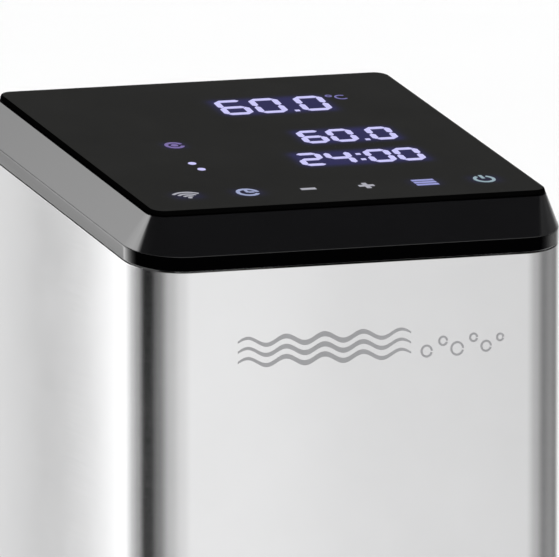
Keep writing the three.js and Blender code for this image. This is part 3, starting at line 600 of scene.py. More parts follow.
def tent_cloth():
    """The tent's glowing cloth: toned walls that turn clear overhead, and a slanted softbox."""
    material = bpy.data.materials.new("tent_cloth")
    material.use_nodes = True
    material.cycles.emission_sampling = "NONE"
    cloth = Nodes(material.node_tree)
    cloth.tree.nodes.clear()
    place = cloth.split(cloth.node("TexCoord").outputs["Object"])
    bearing = cloth.maths("ARCTAN2", place["Y"], place["X"])
    around = cloth.maths("FRACT", cloth.ranged(bearing, -math.pi, math.pi, -0.5, 0.5))

    def window(value, stops):
        rise = cloth.ranged(value, stops[0], stops[1], smooth=True)
        fall = cloth.ranged(value, stops[2], stops[3], 1.0, 0.0, smooth=True)
        return cloth.maths("MULTIPLY", rise, fall)

    walls = cloth.node("Emission")
    stops = [(degrees / 360, tone) for degrees, tone in TENT_TONES]
    cloth.fill(walls, Color=cloth.ramp(around, stops))
    fade = cloth.ranged(place["Z"], *[z * MM for z in TENT_FADE], smooth=True)
    clear = cloth.node("BsdfTransparent")
    lower = cloth.blended(fade, walls.outputs["Emission"], clear.outputs["BSDF"])

    across = window(around, turns(BOX_BEARINGS))
    past_start = cloth.maths("SUBTRACT", around, BOX_START / 360)
    rise = cloth.maths("MULTIPLY", past_start, 360 * BOX_RISE * MM)
    upward = window(cloth.maths("SUBTRACT", place["Z"], rise), [z * MM for z in BOX_HEIGHTS])
    box = cloth.node("Emission")
    cloth.fill(box, Strength=cloth.ranged(around, *turns(BOX_TURN), *BOX_TONES))
    both = cloth.blended(cloth.maths("MULTIPLY", across, upward), lower, box.outputs["Emission"])
    cloth.fill(cloth.node("OutputMaterial"), Surface=both)
    return material


def make_tent():
    """A softly toned studio tent round the object that shows only in reflections."""
    steps = 180
    verts = [(TENT_RADIUS * x, TENT_RADIUS * y, z) for x, y in round_about(steps) for z in (2, TENT_TOP)]
    faces = []
    for i in range(steps):
        j = (i + 1) % steps
        faces.append((2 * i, 2 * i + 1, 2 * j + 1, 2 * j))
    tent = made("studio_tent", (verts, faces))
    tent.visible_camera = False
    tent.visible_diffuse = False
    tent.visible_shadow = False
    tent.visible_transmission = False
    tent.data.materials.append(tent_cloth())


make_world()
make_floor()
make_tent()
make_sun()


# ---- head: cap, glass and sleeve

BEVEL_SLOPE = (HEAD_WIDTH - PANEL_WIDTH) / 2 / BEVEL_DROP
RIM_BOTTOM = -(BEVEL_DROP + RIM_HEIGHT)
CAP_WALL = 2.7
CAP_DECK = 2  # thickness of the cap below the glass
SEAM = -BEVEL_DROP - 0.15  # where the bevel's gloss gives way to the rim


def bevel_at(depth):
    """Width and corner radius of the cap's bevel at a depth below the panel."""
    share = depth / BEVEL_DROP
    return PANEL_WIDTH + 2 * BEVEL_SLOPE * depth, PANEL_CORNER + share * (HEAD_CORNER - PANEL_CORNER)


def make_glass():
    glass = made("panel_glass", leaned(loft([
        (-GLASS_THICKNESS, *bevel_at(GLASS_THICKNESS)),
        (0, PANEL_WIDTH, PANEL_CORNER),
    ])))
    piece(glass, "touch_glass", finish=panel_glass(), edge=0.25, segments=3)
    glass.data.materials.append(glass_edge)
    glass.modifiers["edges"].material = 1
    for polygon in glass.data.polygons:
        if len(polygon.vertices) == 4:
            polygon.material_index = 1


def make_cap():
    top = GLASS_THICKNESS + GAP
    deck = top + CAP_DECK
    inner, inner_corner = HEAD_WIDTH - 2 * CAP_WALL, HEAD_CORNER - CAP_WALL
    cap = made("bevelled_cap", leaned(loft([
        (SEAM, HEAD_WIDTH, HEAD_CORNER),
        (-BEVEL_DROP, HEAD_WIDTH, HEAD_CORNER),
        (-top, *bevel_at(top)),
    ])))
    cut(cap, leaned(loft([
        (SEAM - PAST, inner, inner_corner),
        (-BEVEL_DROP, inner, inner_corner),
        (-deck, bevel_at(deck)[0] - 2 * CAP_WALL, PANEL_CORNER + 1),
    ])))
    piece(cap, "top_cap", edge=0.45, segments=4, angle=20)
    rim = made("cap_rim", leaned(loft([(z, HEAD_WIDTH, HEAD_CORNER) for z in (RIM_BOTTOM, SEAM)])))
    cut(rim, leaned(loft([(z, inner, inner_corner) for z in (RIM_BOTTOM - PAST, SEAM + PAST)])))
    piece(rim, "top_cap", stands=False, finish=rim_black, edge=0.2)


INK_ROOM = 0.06  # the sleeve stands this far inside the cap, so the printed mark doesn't pass it
INLET_Z = 196
INLET_HOLE = (28.4, 21)  # width and height of the sleeve's opening behind the inlet
VENT_Z = 262
VENT_COUNT = 6
VENT_PITCH = 8
VENT_LENGTH, VENT_WIDTH = 44, 3
CUT_DEPTH = 6  # that the cutters reach on each side of the sleeve's back


def make_sleeve():
    top = PANEL_Z + RIM_BOTTOM - GAP
    walls = (rounded_square(HEAD_WIDTH - 2 * INK_ROOM, HEAD_CORNER, 20),
             rounded_square(HEAD_WIDTH - 2 * SLEEVE_WALL, HEAD_CORNER - SLEEVE_WALL, 20))
    outer, inner = ([[(x, y, sleeve_low.z) for x, y in wall], [(x, y, top + y * LEAN) for x, y in wall]]
                    for wall in walls)
    sleeve = made("steel_sleeve", stacked(outer + inner[::-1], hollow=True))
    back_face = HEAD_WIDTH / 2
    y0, y1 = back_face - CUT_DEPTH, back_face + CUT_DEPTH
    width, height = INLET_HOLE
    holes = [block((-width / 2, y0, INLET_Z - height / 2), (width / 2, y1, INLET_Z + height / 2))]
    lowest = VENT_Z - (VENT_COUNT - 1) / 2 * VENT_PITCH
    for i in range(VENT_COUNT):
        holes.append(upright(slot_outline(VENT_LENGTH, VENT_WIDTH), y0, y1, lowest + i * VENT_PITCH))
    cut(sleeve, *holes)
    piece(sleeve, "head_shell", edge=0.12)


# ---- display and keys

INK = 0.05  # thickness of the printed and lit marks

ROWS = [  # text, left edge of its first digit, baseline, digit height, pitch, light
    ("60.0", -1.7, 22.4, 10.2, 8.9),
    ("60.0", 8.3, -3.4, 8.6, 7.5),
    ("24:00", 0.6, -20.9, 8.6, 7.5),
]
SEGMENTS = {"0": "abcdef", "2": "abged", "4": "fgbc", "6": "afgedc"}
DIGIT_SHAPE = 0.59  # width over height
STROKE = 1.55
DIGIT_SLANT = 0.085


def bar(x0, y0, x1, y1, width):
    """A straight stroke with pointed ends."""
    start, end = Vector((x0, y0)), Vector((x1, y1))
    along = (end - start).normalized()
    side = Vector((-along.y, along.x)) * width / 2
    tip = along * width / 2
    inset = along * 0.12
    start, end = start + inset, end - inset
    corners = [start, start + tip - side, end - tip - side, end, end - tip + side, start + tip + side]
    return [tuple(c) for c in corners]


def digit_strokes(figure, height, width):
    half = height / 2
    ends = {
        "a": (0, height, width, height), "g": (0, half, width, half), "d": (0, 0, width, 0),
        "f": (0, half, 0, height), "b": (width, half, width, height),
        "e": (0, 0, 0, half), "c": (width, 0, width, half),
    }
    return [bar(*ends[name], STROKE) for name in SEGMENTS[figure]]


def row_strokes(text, left, baseline, height, pitch):
    """Outlines of a row of digits on the panel; a point or a colon takes part of a pitch."""
    width = height * DIGIT_SHAPE
    x, strokes = left, []
    for figure in text:
        if figure in ".:":
            middle = x - pitch + width + (pitch - width) * 0.5 + 1.5
            spots = [0.0] if figure == "." else [height * 0.25, height * 0.75]
            for spot in spots:
                square = rectangle(middle, spot, 1.2, 1.2)
                strokes.append([(px + DIGIT_SLANT * py, baseline + py) for px, py in square])
            x += 2.6
            continue
        for stroke in digit_strokes(figure, height, width):
            strokes.append([(x + px + DIGIT_SLANT * py, baseline + py) for px, py in stroke])
        x += pitch
    return strokes


def lit_marks(name, outlines, light):
    """Thin lit marks lying on the panel."""
    marks = made(name, *[leaned(prism(outline, 0.02, 0.02 + INK)) for outline in outlines])
    piece(marks, "touch_glass", stands=False, slot="display_light", finish=light)


def lit(name, colour, strength):
    """A lit display segment, slightly uneven like a diffused lamp."""
    surface = Surface(name, (0.02, 0.02, 0.03), 0.4, scale=600, depth=0.0)
    uneven = surface.noise(900, (1, 1, 1), detail=2)
    dim = [c * 0.8 for c in colour]
    glow = surface.mixed(uneven, dim, colour)
    surface.fill(surface.shader, Emission_Color=glow, Emission_Strength=strength)
    return surface.material


def glow_areas():
    """Where the lamps' light spreads in the glass: middle, half extents, reach and strength."""
    areas = []
    for row in ROWS:
        points = [point for stroke in row_strokes(*row) for point in stroke]
        xs, ys = [x for x, y in points], [y for x, y in points]
        middle = (min(xs) + max(xs)) / 2, (min(ys) + max(ys)) / 2
        areas.append((*middle, (max(xs) - min(xs)) / 2 - 1.5, (max(ys) - min(ys)) / 2 - 1.2, 2.0, 1.0))
    areas += [(KEY_X[i], KEY_Y, 2.0, 0.8, 2.0, 0.35) for i in (0, 1, 4, 5)]
    areas.append((HEATING_PLACE[0], HEATING_PLACE[1], 1.6, 1.2, 1.4, 0.4))
    return areas


def panel_glass():
    """Dark gloss glass, with a faint indigo glow round the lit marks."""
    surface = Surface("lit_glass", (0.0088, 0.0088, 0.0080), 0.06, scale=150, depth=0.0003,
                      rough_spread=0.02, colour_spread=0.2)
    place = surface.split(surface.place)
    glow = 0.0
    for middle_x, middle_y, half_x, half_y, reach, strength in glow_areas():
        away = []
        for axis, middle, half in (("X", middle_x, half_x), ("Y", middle_y, half_y)):
            offset = surface.maths("ABSOLUTE", surface.maths("SUBTRACT", place[axis], middle * MM))
            clear = surface.maths("MAXIMUM", surface.maths("SUBTRACT", offset, half * MM), 0.0)
            away.append(surface.maths("POWER", clear, 2.0))
        falling = surface.maths("DIVIDE", surface.maths("ADD", *away), -((reach * MM) ** 2))
        halo = surface.maths("MULTIPLY", surface.maths("POWER", math.e, falling), strength)
        glow = surface.maths("MAXIMUM", glow, halo)
    indigo = surface.mixed(glow, (0, 0, 0), (0.10, 0.09, 0.62))
    surface.fill(surface.shader, Emission_Color=indigo, Emission_Strength=0.12)
    return surface.material


HEATING_PLACE = (-24.6, 0.2)


def circle_outline(x, y, radius, steps=24):
    return arc(x, y, radius, 0, 360 - 360 / steps, steps - 1)


def band(x, y, radius, width, start, end, steps=14):
    """An arc-shaped stroke."""
    outer = arc(x, y, radius + width / 2, start, end, steps)
    inner = arc(x, y, radius - width / 2, end, start, steps)
    return outer + inner


def rectangle(x, y, width, height):
    return [(x - width / 2, y - height / 2), (x + width / 2, y - height / 2),
            (x + width / 2, y + height / 2), (x - width / 2, y + height / 2)]


KEY_Y = -39.2
KEY_X = [-37.2, -22.0, -6.6, 8.2, 23.2, 38.4]


def key_outlines():
    """The six touch keys, each about its own middle: link, timer, minus, plus, set and power."""
    link = [band(0, -1.7, radius, 0.7, 42, 138) for radius in (1.5, 2.9, 4.3)]
    link.append(circle_outline(0, -1.6, 0.55, 12))
    timer = [band(0, 0, 2.4, 0.95, 0, 330), rectangle(0, 0.9, 0.8, 1.9), rectangle(0.9, 0, 1.4, 0.8)]
    minus = [rectangle(0, 0, 3.8, 1.3)]
    plus = [rectangle(0, 0, 3.9, 1.2), rectangle(0, 1.35, 1.2, 1.4), rectangle(0, -1.35, 1.2, 1.4)]
    lines = [rectangle(0, shift, 5.6, 1.1) for shift in (-1.7, 0, 1.7)]
    power = [band(0, 0, 2.3, 0.85, 120, 420), rectangle(0, 1.7, 0.85, 2.6)]
    return {
        "key_link": (link, "white"), "key_timer": (timer, "blue"), "key_minus": (minus, "white"),
        "key_plus": (plus, "white"), "key_set": (lines, "lavender"), "key_power": (power, "cyan"),
    }


KEY_LIGHTS = {
    "white": (0.50, 0.50, 0.56), "blue": (0.40, 0.46, 0.72),
    "lavender": (0.36, 0.38, 0.80), "cyan": (0.36, 0.50, 0.56),
}


def make_display():
    digits = lit("digits_light", (0.62, 0.60, 1.0), 1.0)
    for name, row in zip(("display_reading", "display_target", "display_time"), ROWS):
        lit_marks(name, row_strokes(*row), digits)
    dim = lit("degree_light", (0.20, 0.18, 0.5), 0.8)
    degree = [band(28.4, 32.6, 0.7, 0.4, 0, 330), band(31.2, 31.2, 1.5, 0.5, 50, 310)]
    lit_marks("display_degree", degree, dim)
    violet = lit("heating_light", (0.24, 0.17, 0.50), 0.7)
    heating = [band(*HEATING_PLACE, 2.0, 0.9, 20, 340), circle_outline(*HEATING_PLACE, 0.9, 16)]
    lit_marks("indicator_heating", heating, violet)
    pump = [circle_outline(-26.1, -14.6, 1.0, 20), circle_outline(-25.7, -19.5, 1.0, 20)]
    lit_marks("indicator_pump", pump, digits)
    for key_x, (name, (outlines, tone)) in zip(KEY_X, key_outlines().items()):
        placed = [[(key_x + x, KEY_Y + y) for x, y in outline] for outline in outlines]
        lit_marks(name, placed, lit(f"{name}_light", KEY_LIGHTS[tone], 0.8))


# ---- printed mark on the front


def wave_band(left, length, periods, middle, swing, width, steps):
    """A wavy stroke that thins towards both ends, as (x, z) points."""
    upper, lower = [], []
    for i in range(steps + 1):
        share = i / steps
        x = left + length * share
        z = middle + swing * math.sin(2 * math.pi * periods * share)
        half = width / 2 * (0.35 + 0.65 * math.sin(math.pi * share) ** 0.6)
        upper.append((x, z + half))
        lower.append((x, z - half))
    return upper + lower[::-1]


def make_mark():
    """A generic mark: three waves and rising bubbles."""
    outlines = [wave_band(-31, 44, 4.5, middle, 0.9, 1.25, 90) for middle in (286.9, 289.3, 291.7)]
    bubbles = [(17.0, 287.0, 1.3), (21.2, 289.2, 1.0), (24.8, 287.2, 1.5), (29.0, 289.6, 0.9),
               (32.2, 287.4, 1.2), (35.8, 289.3, 0.8)]
    outlines += [band(x, z, radius, 0.5, 0, 345, 20) for x, z, radius in bubbles]
    front = INK_ROOM - HEAD_WIDTH / 2
    shapes = [upright(outline, front - INK, front + 0.02) for outline in outlines]
    piece(made("front_mark", *shapes), "head_shell", stands=False, slot="mark_ink")


# ---- head: base, screws and power inlet

BASE_HOLE = 26.2  # radius of the hole that the column's flange fills
SPIGOT_WIDTH = HEAD_WIDTH - 2 * SLEEVE_WALL - 0.8  # walls that slide into the sleeve
SPIGOT_CORNER = 10.8
SPIGOT_WALL = 2
SPIGOT_HEIGHT = 10
TIE_SPREAD = 45.5  # tie screws stand this far from the axis, both ways
TIE_PLACES = [(x * TIE_SPREAD, y * TIE_SPREAD) for x, y in ((-1, -1), (1, -1), (1, 1), (-1, 1))]
TIE_RADIUS = 2
TIE_HEAD_RADIUS = 4.1
COUNTERBORE = 2  # depth
TIE_TOP = -16  # below the panel


def make_base():
    base = made("base_plate", loft([
        (BASE_BOTTOM, HEAD_WIDTH - 2, HEAD_CORNER - 1),
        (BASE_BOTTOM + 0.3, HEAD_WIDTH - 0.8, HEAD_CORNER - 0.4),
        (BASE_BOTTOM + 1, HEAD_WIDTH, HEAD_CORNER),
        (BASE_TOP, HEAD_WIDTH, HEAD_CORNER),
    ]))
    top = BASE_TOP + SPIGOT_HEIGHT
    fused(base, loft([(BASE_TOP - 1, SPIGOT_WIDTH, SPIGOT_CORNER), (top, SPIGOT_WIDTH, SPIGOT_CORNER)]))
    inner, inner_corner = SPIGOT_WIDTH - 2 * SPIGOT_WALL, SPIGOT_CORNER - SPIGOT_WALL
    holes = [loft([(BASE_TOP + 0.5, inner, inner_corner), (top + PAST, inner, inner_corner)]),
             rod(BASE_HOLE, BASE_BOTTOM - PAST, BASE_TOP + 2, 96)]
    for x, y in TIE_PLACES:
        holes.append(moved(rod(TIE_HEAD_RADIUS + 0.5, BASE_BOTTOM - PAST, BASE_BOTTOM + COUNTERBORE), x, y))
        holes.append(moved(rod(TIE_RADIUS + 0.4, BASE_BOTTOM + 1, BASE_TOP + 2, 24), x, y))
    cut(base, *holes)
    piece(base, "head_base", edge=0.25)


def make_tie_screws():
    low = BASE_BOTTOM + 0.2
    head_top = BASE_BOTTOM + COUNTERBORE - GAP
    for i, (x, y) in enumerate(TIE_PLACES):
        top = PANEL_Z + y * LEAN + TIE_TOP
        screw = made(f"tie_screw_head_{i + 1}", moved(lathe([
            (0, low), (TIE_HEAD_RADIUS - 0.5, low), (TIE_HEAD_RADIUS, low + 0.5),
            (TIE_HEAD_RADIUS, head_top), (TIE_RADIUS, head_top), (TIE_RADIUS, top), (0, top),
        ], 32), x, y))
        cut(screw, moved(rod(1.6, low - PAST, low + 1, 6), x, y))
        piece(screw, f"tie_screw_{i + 1}")


INLET_FRONT = HEAD_WIDTH / 2 + GAP
INLET_FACE = INLET_FRONT + 3
INLET_BACK = 32
SOCKET_FLOOR = INLET_FACE - 17
PIN_PLACES = {"live": (-7, -1.5), "neutral": (7, -1.5), "earth": (0, 2.5)}
PIN_HALF = (1, 2)  # half the blade's thickness and width
PIN_ROOM = 0.35
PIN_BACK, PIN_TIP = 28, SOCKET_FLOOR + 11
INLET_SCREW_REACH = 20


def at_inlet_screw(shape, side):
    """A shape made about Z, set on the axis of the left (-1) or right (1) screw of the inlet."""
    return moved(along_y(shape), side * INLET_SCREW_REACH, INLET_FACE, INLET_Z)


def make_inlet():
    inlet = made("inlet_housing", upright(slot_outline(50, 24, 20), INLET_FRONT, INLET_FACE, INLET_Z))
    fused(inlet, block((-13.6, INLET_BACK, INLET_Z - 9.9), (13.6, INLET_FRONT + 1, INLET_Z + 9.9)))
    mouth = [(-12, -8.3), (12, -8.3), (12, 5), (9, 8.3), (-9, 8.3), (-12, 5)]
    holes = [upright(mouth, SOCKET_FLOOR, INLET_FACE + PAST, INLET_Z)]
    half_x, half_z = (half + PIN_ROOM for half in PIN_HALF)
    for x, z in PIN_PLACES.values():
        low = x - half_x, INLET_BACK - 2, INLET_Z + z - half_z
        high = x + half_x, SOCKET_FLOOR + PAST, INLET_Z + z + half_z
        holes.append(block(low, high))
    countersink = lathe([(0, -4), (1.9, -4), (1.9, -0.9), (3.5, 0.7), (0, 0.7)], 32)
    holes += [at_inlet_screw(countersink, side) for side in (-1, 1)]
    cut(inlet, *holes)
    piece(inlet, "power_inlet", edge=0.35, segments=3)


def make_inlet_pins():
    half_x, half_z = PIN_HALF
    for name, (x, z) in PIN_PLACES.items():
        blade = [(x - half_x, PIN_BACK), (x + half_x, PIN_BACK), (x + half_x, PIN_TIP - 1.2),
                 (x + 0.45, PIN_TIP), (x - 0.45, PIN_TIP), (x - half_x, PIN_TIP - 1.2)]
        pin = made(f"pin_{name}", prism(blade, INLET_Z + z - half_z, INLET_Z + z + half_z))
        piece(pin, f"inlet_pin_{name}", edge=0.2)


def make_inlet_screws():
    profile = [(0, -14), (1.5, -14), (1.5, GAP), (3.2, GAP), (3.2, 0.9), (2.9, 1.5), (2.1, 1.9), (0, 2)]
    cross = [turned(prism(rectangle(0, 0, width, height), 1.2, 3), 20)
             for width, height in ((0.8, 4), (4, 0.8))]
    for name, side in (("left", -1), ("right", 1)):
        screw = made(f"screw_head_{name}", at_inlet_screw(lathe(profile, 32), side))
        cut(screw, *[at_inlet_screw(arm, side) for arm in cross])
        piece(screw, f"inlet_screw_{name}", edge=0.1)


# ---- column

SLOT_COUNT = 10
SLOT_WIDTH, SLOT_LENGTH, SLOT_Z = 4, 46, 86
BAYONET_COUNT = 3
BAYONET_START = 90  # degrees round to the first lug
BAYONET_Z, BAYONET_HEIGHT = 156.5, 5.2
BAYONET_TWIST = 30
BAYONET_HALF = 5  # degrees on each side of a lug
BORE_ROOM = 0.35  # between a hole's wall and the rod through it
SHAFT_RADIUS, SHAFT_BOTTOM, SHAFT_TOP = 2.5, 24, 181.85
TUBE_RADIUS, TUBE_WALL = 6, 1
TUBE_BOTTOM, TUBE_TOP = 42, 173
FLANGE_BOTTOM, FLANGE_RADIUS = 150, 34
COIL_RADIUS, COIL_TURNS = 18, 4.5
COIL_BOTTOM, COIL_TOP = 60, 122
INNER_LEG = 10.5
LEG_SHARE = 0.12  # of the heater's path, for each of its two upright legs
COIL_DIP = 4
HEATER_RADIUS = 3
SENSORS = {  # degrees round the axis, radius, height of the tip
    "temperature_probe": (130, 2.3, 66),
    "level_probe_high": (215, 1.6, 112),
    "level_probe_low": (235, 1.6, 74),
}
SENSOR_RING = 25
SENSOR_TOP = 165
HIGH_WATER, LOW_WATER = 115, 74  # the level lines round the skirt
SLIDE_RADIUS = SKIRT_RADIUS - SKIRT_WALL - 0.6  # of what fits inside the skirt
ROUND_STEPS = 145  # round turned pieces that are cut, odd so that no cut runs along an edge


def make_skirt():
    rows = 60
    heights = [skirt_low.z + (skirt_high.z - skirt_low.z) * i / rows for i in range(rows + 1)]
    outside = [(SKIRT_RADIUS, z) for z in heights]
    inside = [(SKIRT_RADIUS - SKIRT_WALL, z) for z in reversed(heights)]
    skirt = made("perforated_skirt", lathe(outside + inside + outside[:1], 160))
    inner, outer = SKIRT_RADIUS - 4, SKIRT_RADIUS + 3
    slot = moved(turned(prism(slot_outline(SLOT_LENGTH, SLOT_WIDTH), inner, outer), 90, "Y"), 0, 0, SLOT_Z)
    cut(skirt, *spun(slot, SLOT_COUNT, 180 / SLOT_COUNT))
    entry = -BAYONET_TWIST - BAYONET_HALF
    low, high = BAYONET_Z - BAYONET_HEIGHT / 2, BAYONET_Z + BAYONET_HEIGHT / 2
    catch = wedge(outer, inner, entry, BAYONET_HALF, low, high)
    way_in = wedge(outer, inner, entry, entry + 2 * BAYONET_HALF, BAYONET_Z, skirt_high.z + PAST)
    for opening in (catch, way_in):
        cut(skirt, *spun(opening, BAYONET_COUNT, BAYONET_START))
    piece(skirt, "column_skirt", edge=0.2, angle=40)


def make_level_lines():
    """A full line round the skirt for high water, and one between the slots for low water."""
    outer, inner = SKIRT_RADIUS + 0.04, SKIRT_RADIUS - 0.1
    dash = wedge(outer, inner, -12.5, 12.5, LOW_WATER - 0.25, LOW_WATER + 0.25)
    lines = [ring(outer, inner, HIGH_WATER - 0.45, HIGH_WATER + 0.45, 160), *spun(dash, SLOT_COUNT)]
    piece(made("water_level_lines", *lines), "column_skirt", stands=False, slot="mark_ink")


def make_outlet():
    outer, spigot, wall = SKIRT_RADIUS, SLIDE_RADIUS, 2
    seat, top, floor = skirt_low.z - GAP, 24, 3
    cap = made("outlet_cup", lathe([
        (0, 0), (outer - 2.4, 0), (outer - 1.2, 0.35), (outer - 0.35, 1.2), (outer, 2.4), (outer, seat),
        (spigot, seat), (spigot, top), (spigot - wall, top), (spigot - wall, floor), (0, floor),
    ], ROUND_STEPS))
    cut(cap, wedge(outer + 3, outer - 6, -130, -50, 4.5, 13, 40))
    grip_count, first, last = 8, -10, 190
    grip = moved(rod(2, 4, 14, 24), outer + 1.1)
    step = (last - first) / (grip_count - 1)
    cut(cap, *[turned(grip, first + i * step) for i in range(grip_count)])
    piece(cap, "outlet_cap", edge=0.3)


def sensor_place(degrees):
    angle = math.radians(degrees)
    return SENSOR_RING * math.cos(angle), SENSOR_RING * math.sin(angle)


def make_flange():
    inside, neck = SLIDE_RADIUS, BASE_HOLE - 0.6
    shoulder, under = skirt_high.z + GAP, BASE_BOTTOM - GAP
    flange = made("flange_plate", lathe([
        (0, FLANGE_BOTTOM), (inside - 0.8, FLANGE_BOTTOM), (inside, FLANGE_BOTTOM + 0.8),
        (inside, shoulder), (FLANGE_RADIUS - 0.4, shoulder), (FLANGE_RADIUS, shoulder + 0.4),
        (FLANGE_RADIUS, under), (neck, under), (neck, BASE_TOP), (0, BASE_TOP),
    ], ROUND_STEPS))
    lug = moved(along_x(rod(1.9, 20, SKIRT_RADIUS - 0.2, 24)), 0, 0, BAYONET_Z)
    fused(flange, *spun(lug, BAYONET_COUNT, BAYONET_START))

    def hole(radius, x=0, y=0, high=BASE_TOP + PAST, steps=24):
        return moved(rod(radius + BORE_ROOM, FLANGE_BOTTOM - PAST, high, steps), x, y)

    holes = [hole(TUBE_RADIUS, steps=48), hole(HEATER_RADIUS, COIL_RADIUS), hole(HEATER_RADIUS, -INNER_LEG)]
    for degrees, radius, _ in SENSORS.values():
        holes.append(hole(radius, *sensor_place(degrees), SENSOR_TOP + GAP))
    cut(flange, *holes)
    piece(flange, "element_flange", edge=0.2)


def smoothstep(value):
    value = min(max(value, 0.0), 1.0)
    return value * value * (3 - 2 * value)


def heater_point(t):
    """Down the inner leg, out to the coil's radius, round the turns and up the outer leg."""
    top = BASE_TOP + 4
    if t < LEG_SHARE:
        return -INNER_LEG, 0, top + (COIL_BOTTOM + COIL_DIP - top) * t / LEG_SHARE
    if t > 1 - LEG_SHARE:
        return COIL_RADIUS, 0, COIL_TOP + (top - COIL_TOP) * (t - 1 + LEG_SHARE) / LEG_SHARE
    share = (t - LEG_SHARE) / (1 - 2 * LEG_SHARE)
    angle = math.pi + share * COIL_TURNS * 2 * math.pi
    radius = INNER_LEG + (COIL_RADIUS - INNER_LEG) * smoothstep(share * COIL_TURNS / 0.5)
    dip = COIL_DIP * (1 - smoothstep(share * (COIL_TURNS - 0.5) / 0.25))
    height = COIL_BOTTOM + (COIL_TOP - COIL_BOTTOM) * share + dip
    return radius * math.cos(angle), radius * math.sin(angle), height


def make_heater():
    steps = 420
    points = [heater_point(i / steps) for i in range(steps + 1)]
    piece(made("heating_element", tube(points, HEATER_RADIUS - 0.05, 20)), "heater_coil")


def make_column_rods():
    inner = TUBE_RADIUS - TUBE_WALL
    outer = made("guide_tube", lathe([
        (inner, TUBE_BOTTOM), (TUBE_RADIUS - 0.2, TUBE_BOTTOM), (TUBE_RADIUS, TUBE_BOTTOM + 0.2),
        (TUBE_RADIUS, TUBE_TOP), (inner, TUBE_TOP), (inner, TUBE_BOTTOM),
    ], 64))
    piece(outer, "shaft_tube")
    shaft = made("pump_shaft", lathe([
        (0, SHAFT_BOTTOM), (SHAFT_RADIUS - 0.4, SHAFT_BOTTOM), (SHAFT_RADIUS, SHAFT_BOTTOM + 0.4),
        (SHAFT_RADIUS, SHAFT_TOP), (0, SHAFT_TOP),
    ], 40))
    piece(shaft, "drive_shaft")
    for name, (degrees, radius, tip) in SENSORS.items():
        dome = arc(0, tip + radius, radius, -90, 0)
        probe = made(f"{name}_sheath", moved(lathe(dome + [(radius, SENSOR_TOP), (0, SENSOR_TOP)], 32),
                                             *sensor_place(degrees)))
        piece(probe, name)


# ---- clamp

COLLAR_RADIUS, COLLAR_BORE = 38, 32.4
COLLAR_BOTTOM, COLLAR_TOP = 136, 160
COLLAR_GAP = 3  # half the width of the collar's split
SPLIT_FRONT, SPLIT_BACK = -45, -25
EAR_WIDTH = 6
BRIDGE_BOTTOM, BRIDGE_TOP = 140, 150
BRIDGE_HALF = 17  # half the width of the leg and of the bridge's end
JAW_FACE = 36
LEG_FRONT, LEG_BACK = 66, 76
LEG_BOTTOM = 100
LEG_CORNER, FOOT_CORNER = 4, 8
SCREW_Z = 112
SCREW_RADIUS = 4
SCREW_BORE = SCREW_RADIUS + 0.4  # radius of the holes that the screw runs in
PAD_FRONT = low_high("pad_face")[0].y
LOCK_Y, LOCK_Z = -44, 148
LEVER_X = 16
LEVER_ANGLE = 50
LEVER_HALF = 5  # half the lever's thickness
PIN_END = 6.6  # the lever's pin reaches this far from its middle, both ways
PIN_BORE = 1.8  # radius of the pin's holes


def on_lock(shape):
    """A shape made about Z, laid on the lock bolt's axis."""
    return moved(along_x(shape), 0, LOCK_Y, LOCK_Z)


def on_screw(shape, y=0):
    """A shape made about Z, laid on the clamp screw's axis."""
    return moved(along_y(shape), 0, y, SCREW_Z)


def make_bracket():
    bracket = made("clamp_frame", ring(COLLAR_RADIUS, COLLAR_BORE, COLLAR_BOTTOM, COLLAR_TOP, 80))
    reach, back_centre = BRIDGE_HALF - LEG_CORNER, LEG_BACK - LEG_CORNER
    plan = [(-27, 20), (27, 20), (BRIDGE_HALF, 60)] + arc(reach, back_centre, LEG_CORNER, 0, 90)
    plan += arc(-reach, back_centre, LEG_CORNER, 90, 180) + [(-BRIDGE_HALF, 60)]
    arm = made("bridge_and_leg", prism(plan, LEG_BOTTOM, BRIDGE_TOP))
    under = LEG_BOTTOM - PAST
    centre_x, centre_z = BRIDGE_HALF - FOOT_CORNER, LEG_BOTTOM + FOOT_CORNER
    foot = [(BRIDGE_HALF + PAST, centre_z), (BRIDGE_HALF + PAST, under), (centre_x, under)]
    foot += arc(centre_x, centre_z, FOOT_CORNER, 270, 360)
    feet = [foot, [(-x, z) for x, z in reversed(foot)]]
    cut(arm, rod(COLLAR_BORE + 1.6, under, BRIDGE_TOP + PAST, 144),
        block((-30, 10, under), (30, LEG_FRONT, BRIDGE_BOTTOM)),
        *[upright(outline, LEG_FRONT - 2, LEG_BACK + 2) for outline in feet])
    rib = turned(turned(prism([(36, 148), (74, 148), (70, 156), (37, 159)], -1.5, 1.5), 90, "X"), 90, "Z")
    ribs = [moved(rib, x) for x in (-10, 10)]
    jaw = block((-16, JAW_FACE - 2.6, 98), (16, JAW_FACE, COLLAR_BOTTOM + 2))
    ears = [block((x, -50, 141), (x + EAR_WIDTH, -34, 155)) for x in (-COLLAR_GAP - EAR_WIDTH, COLLAR_GAP)]
    fused(bracket, arm, *ribs, jaw, *ears)
    split = block((-COLLAR_GAP, SPLIT_FRONT, COLLAR_BOTTOM - PAST),
                  (COLLAR_GAP, SPLIT_BACK, COLLAR_TOP + PAST))
    cut(bracket, split, on_lock(rod(2.6, -20, 20, 32)), on_screw(rod(6.5, -20, 20), LEG_BACK))
    piece(merged(bracket, 0.3), "clamp_bracket", edge=0.7, segments=3, angle=40, clamp=False)


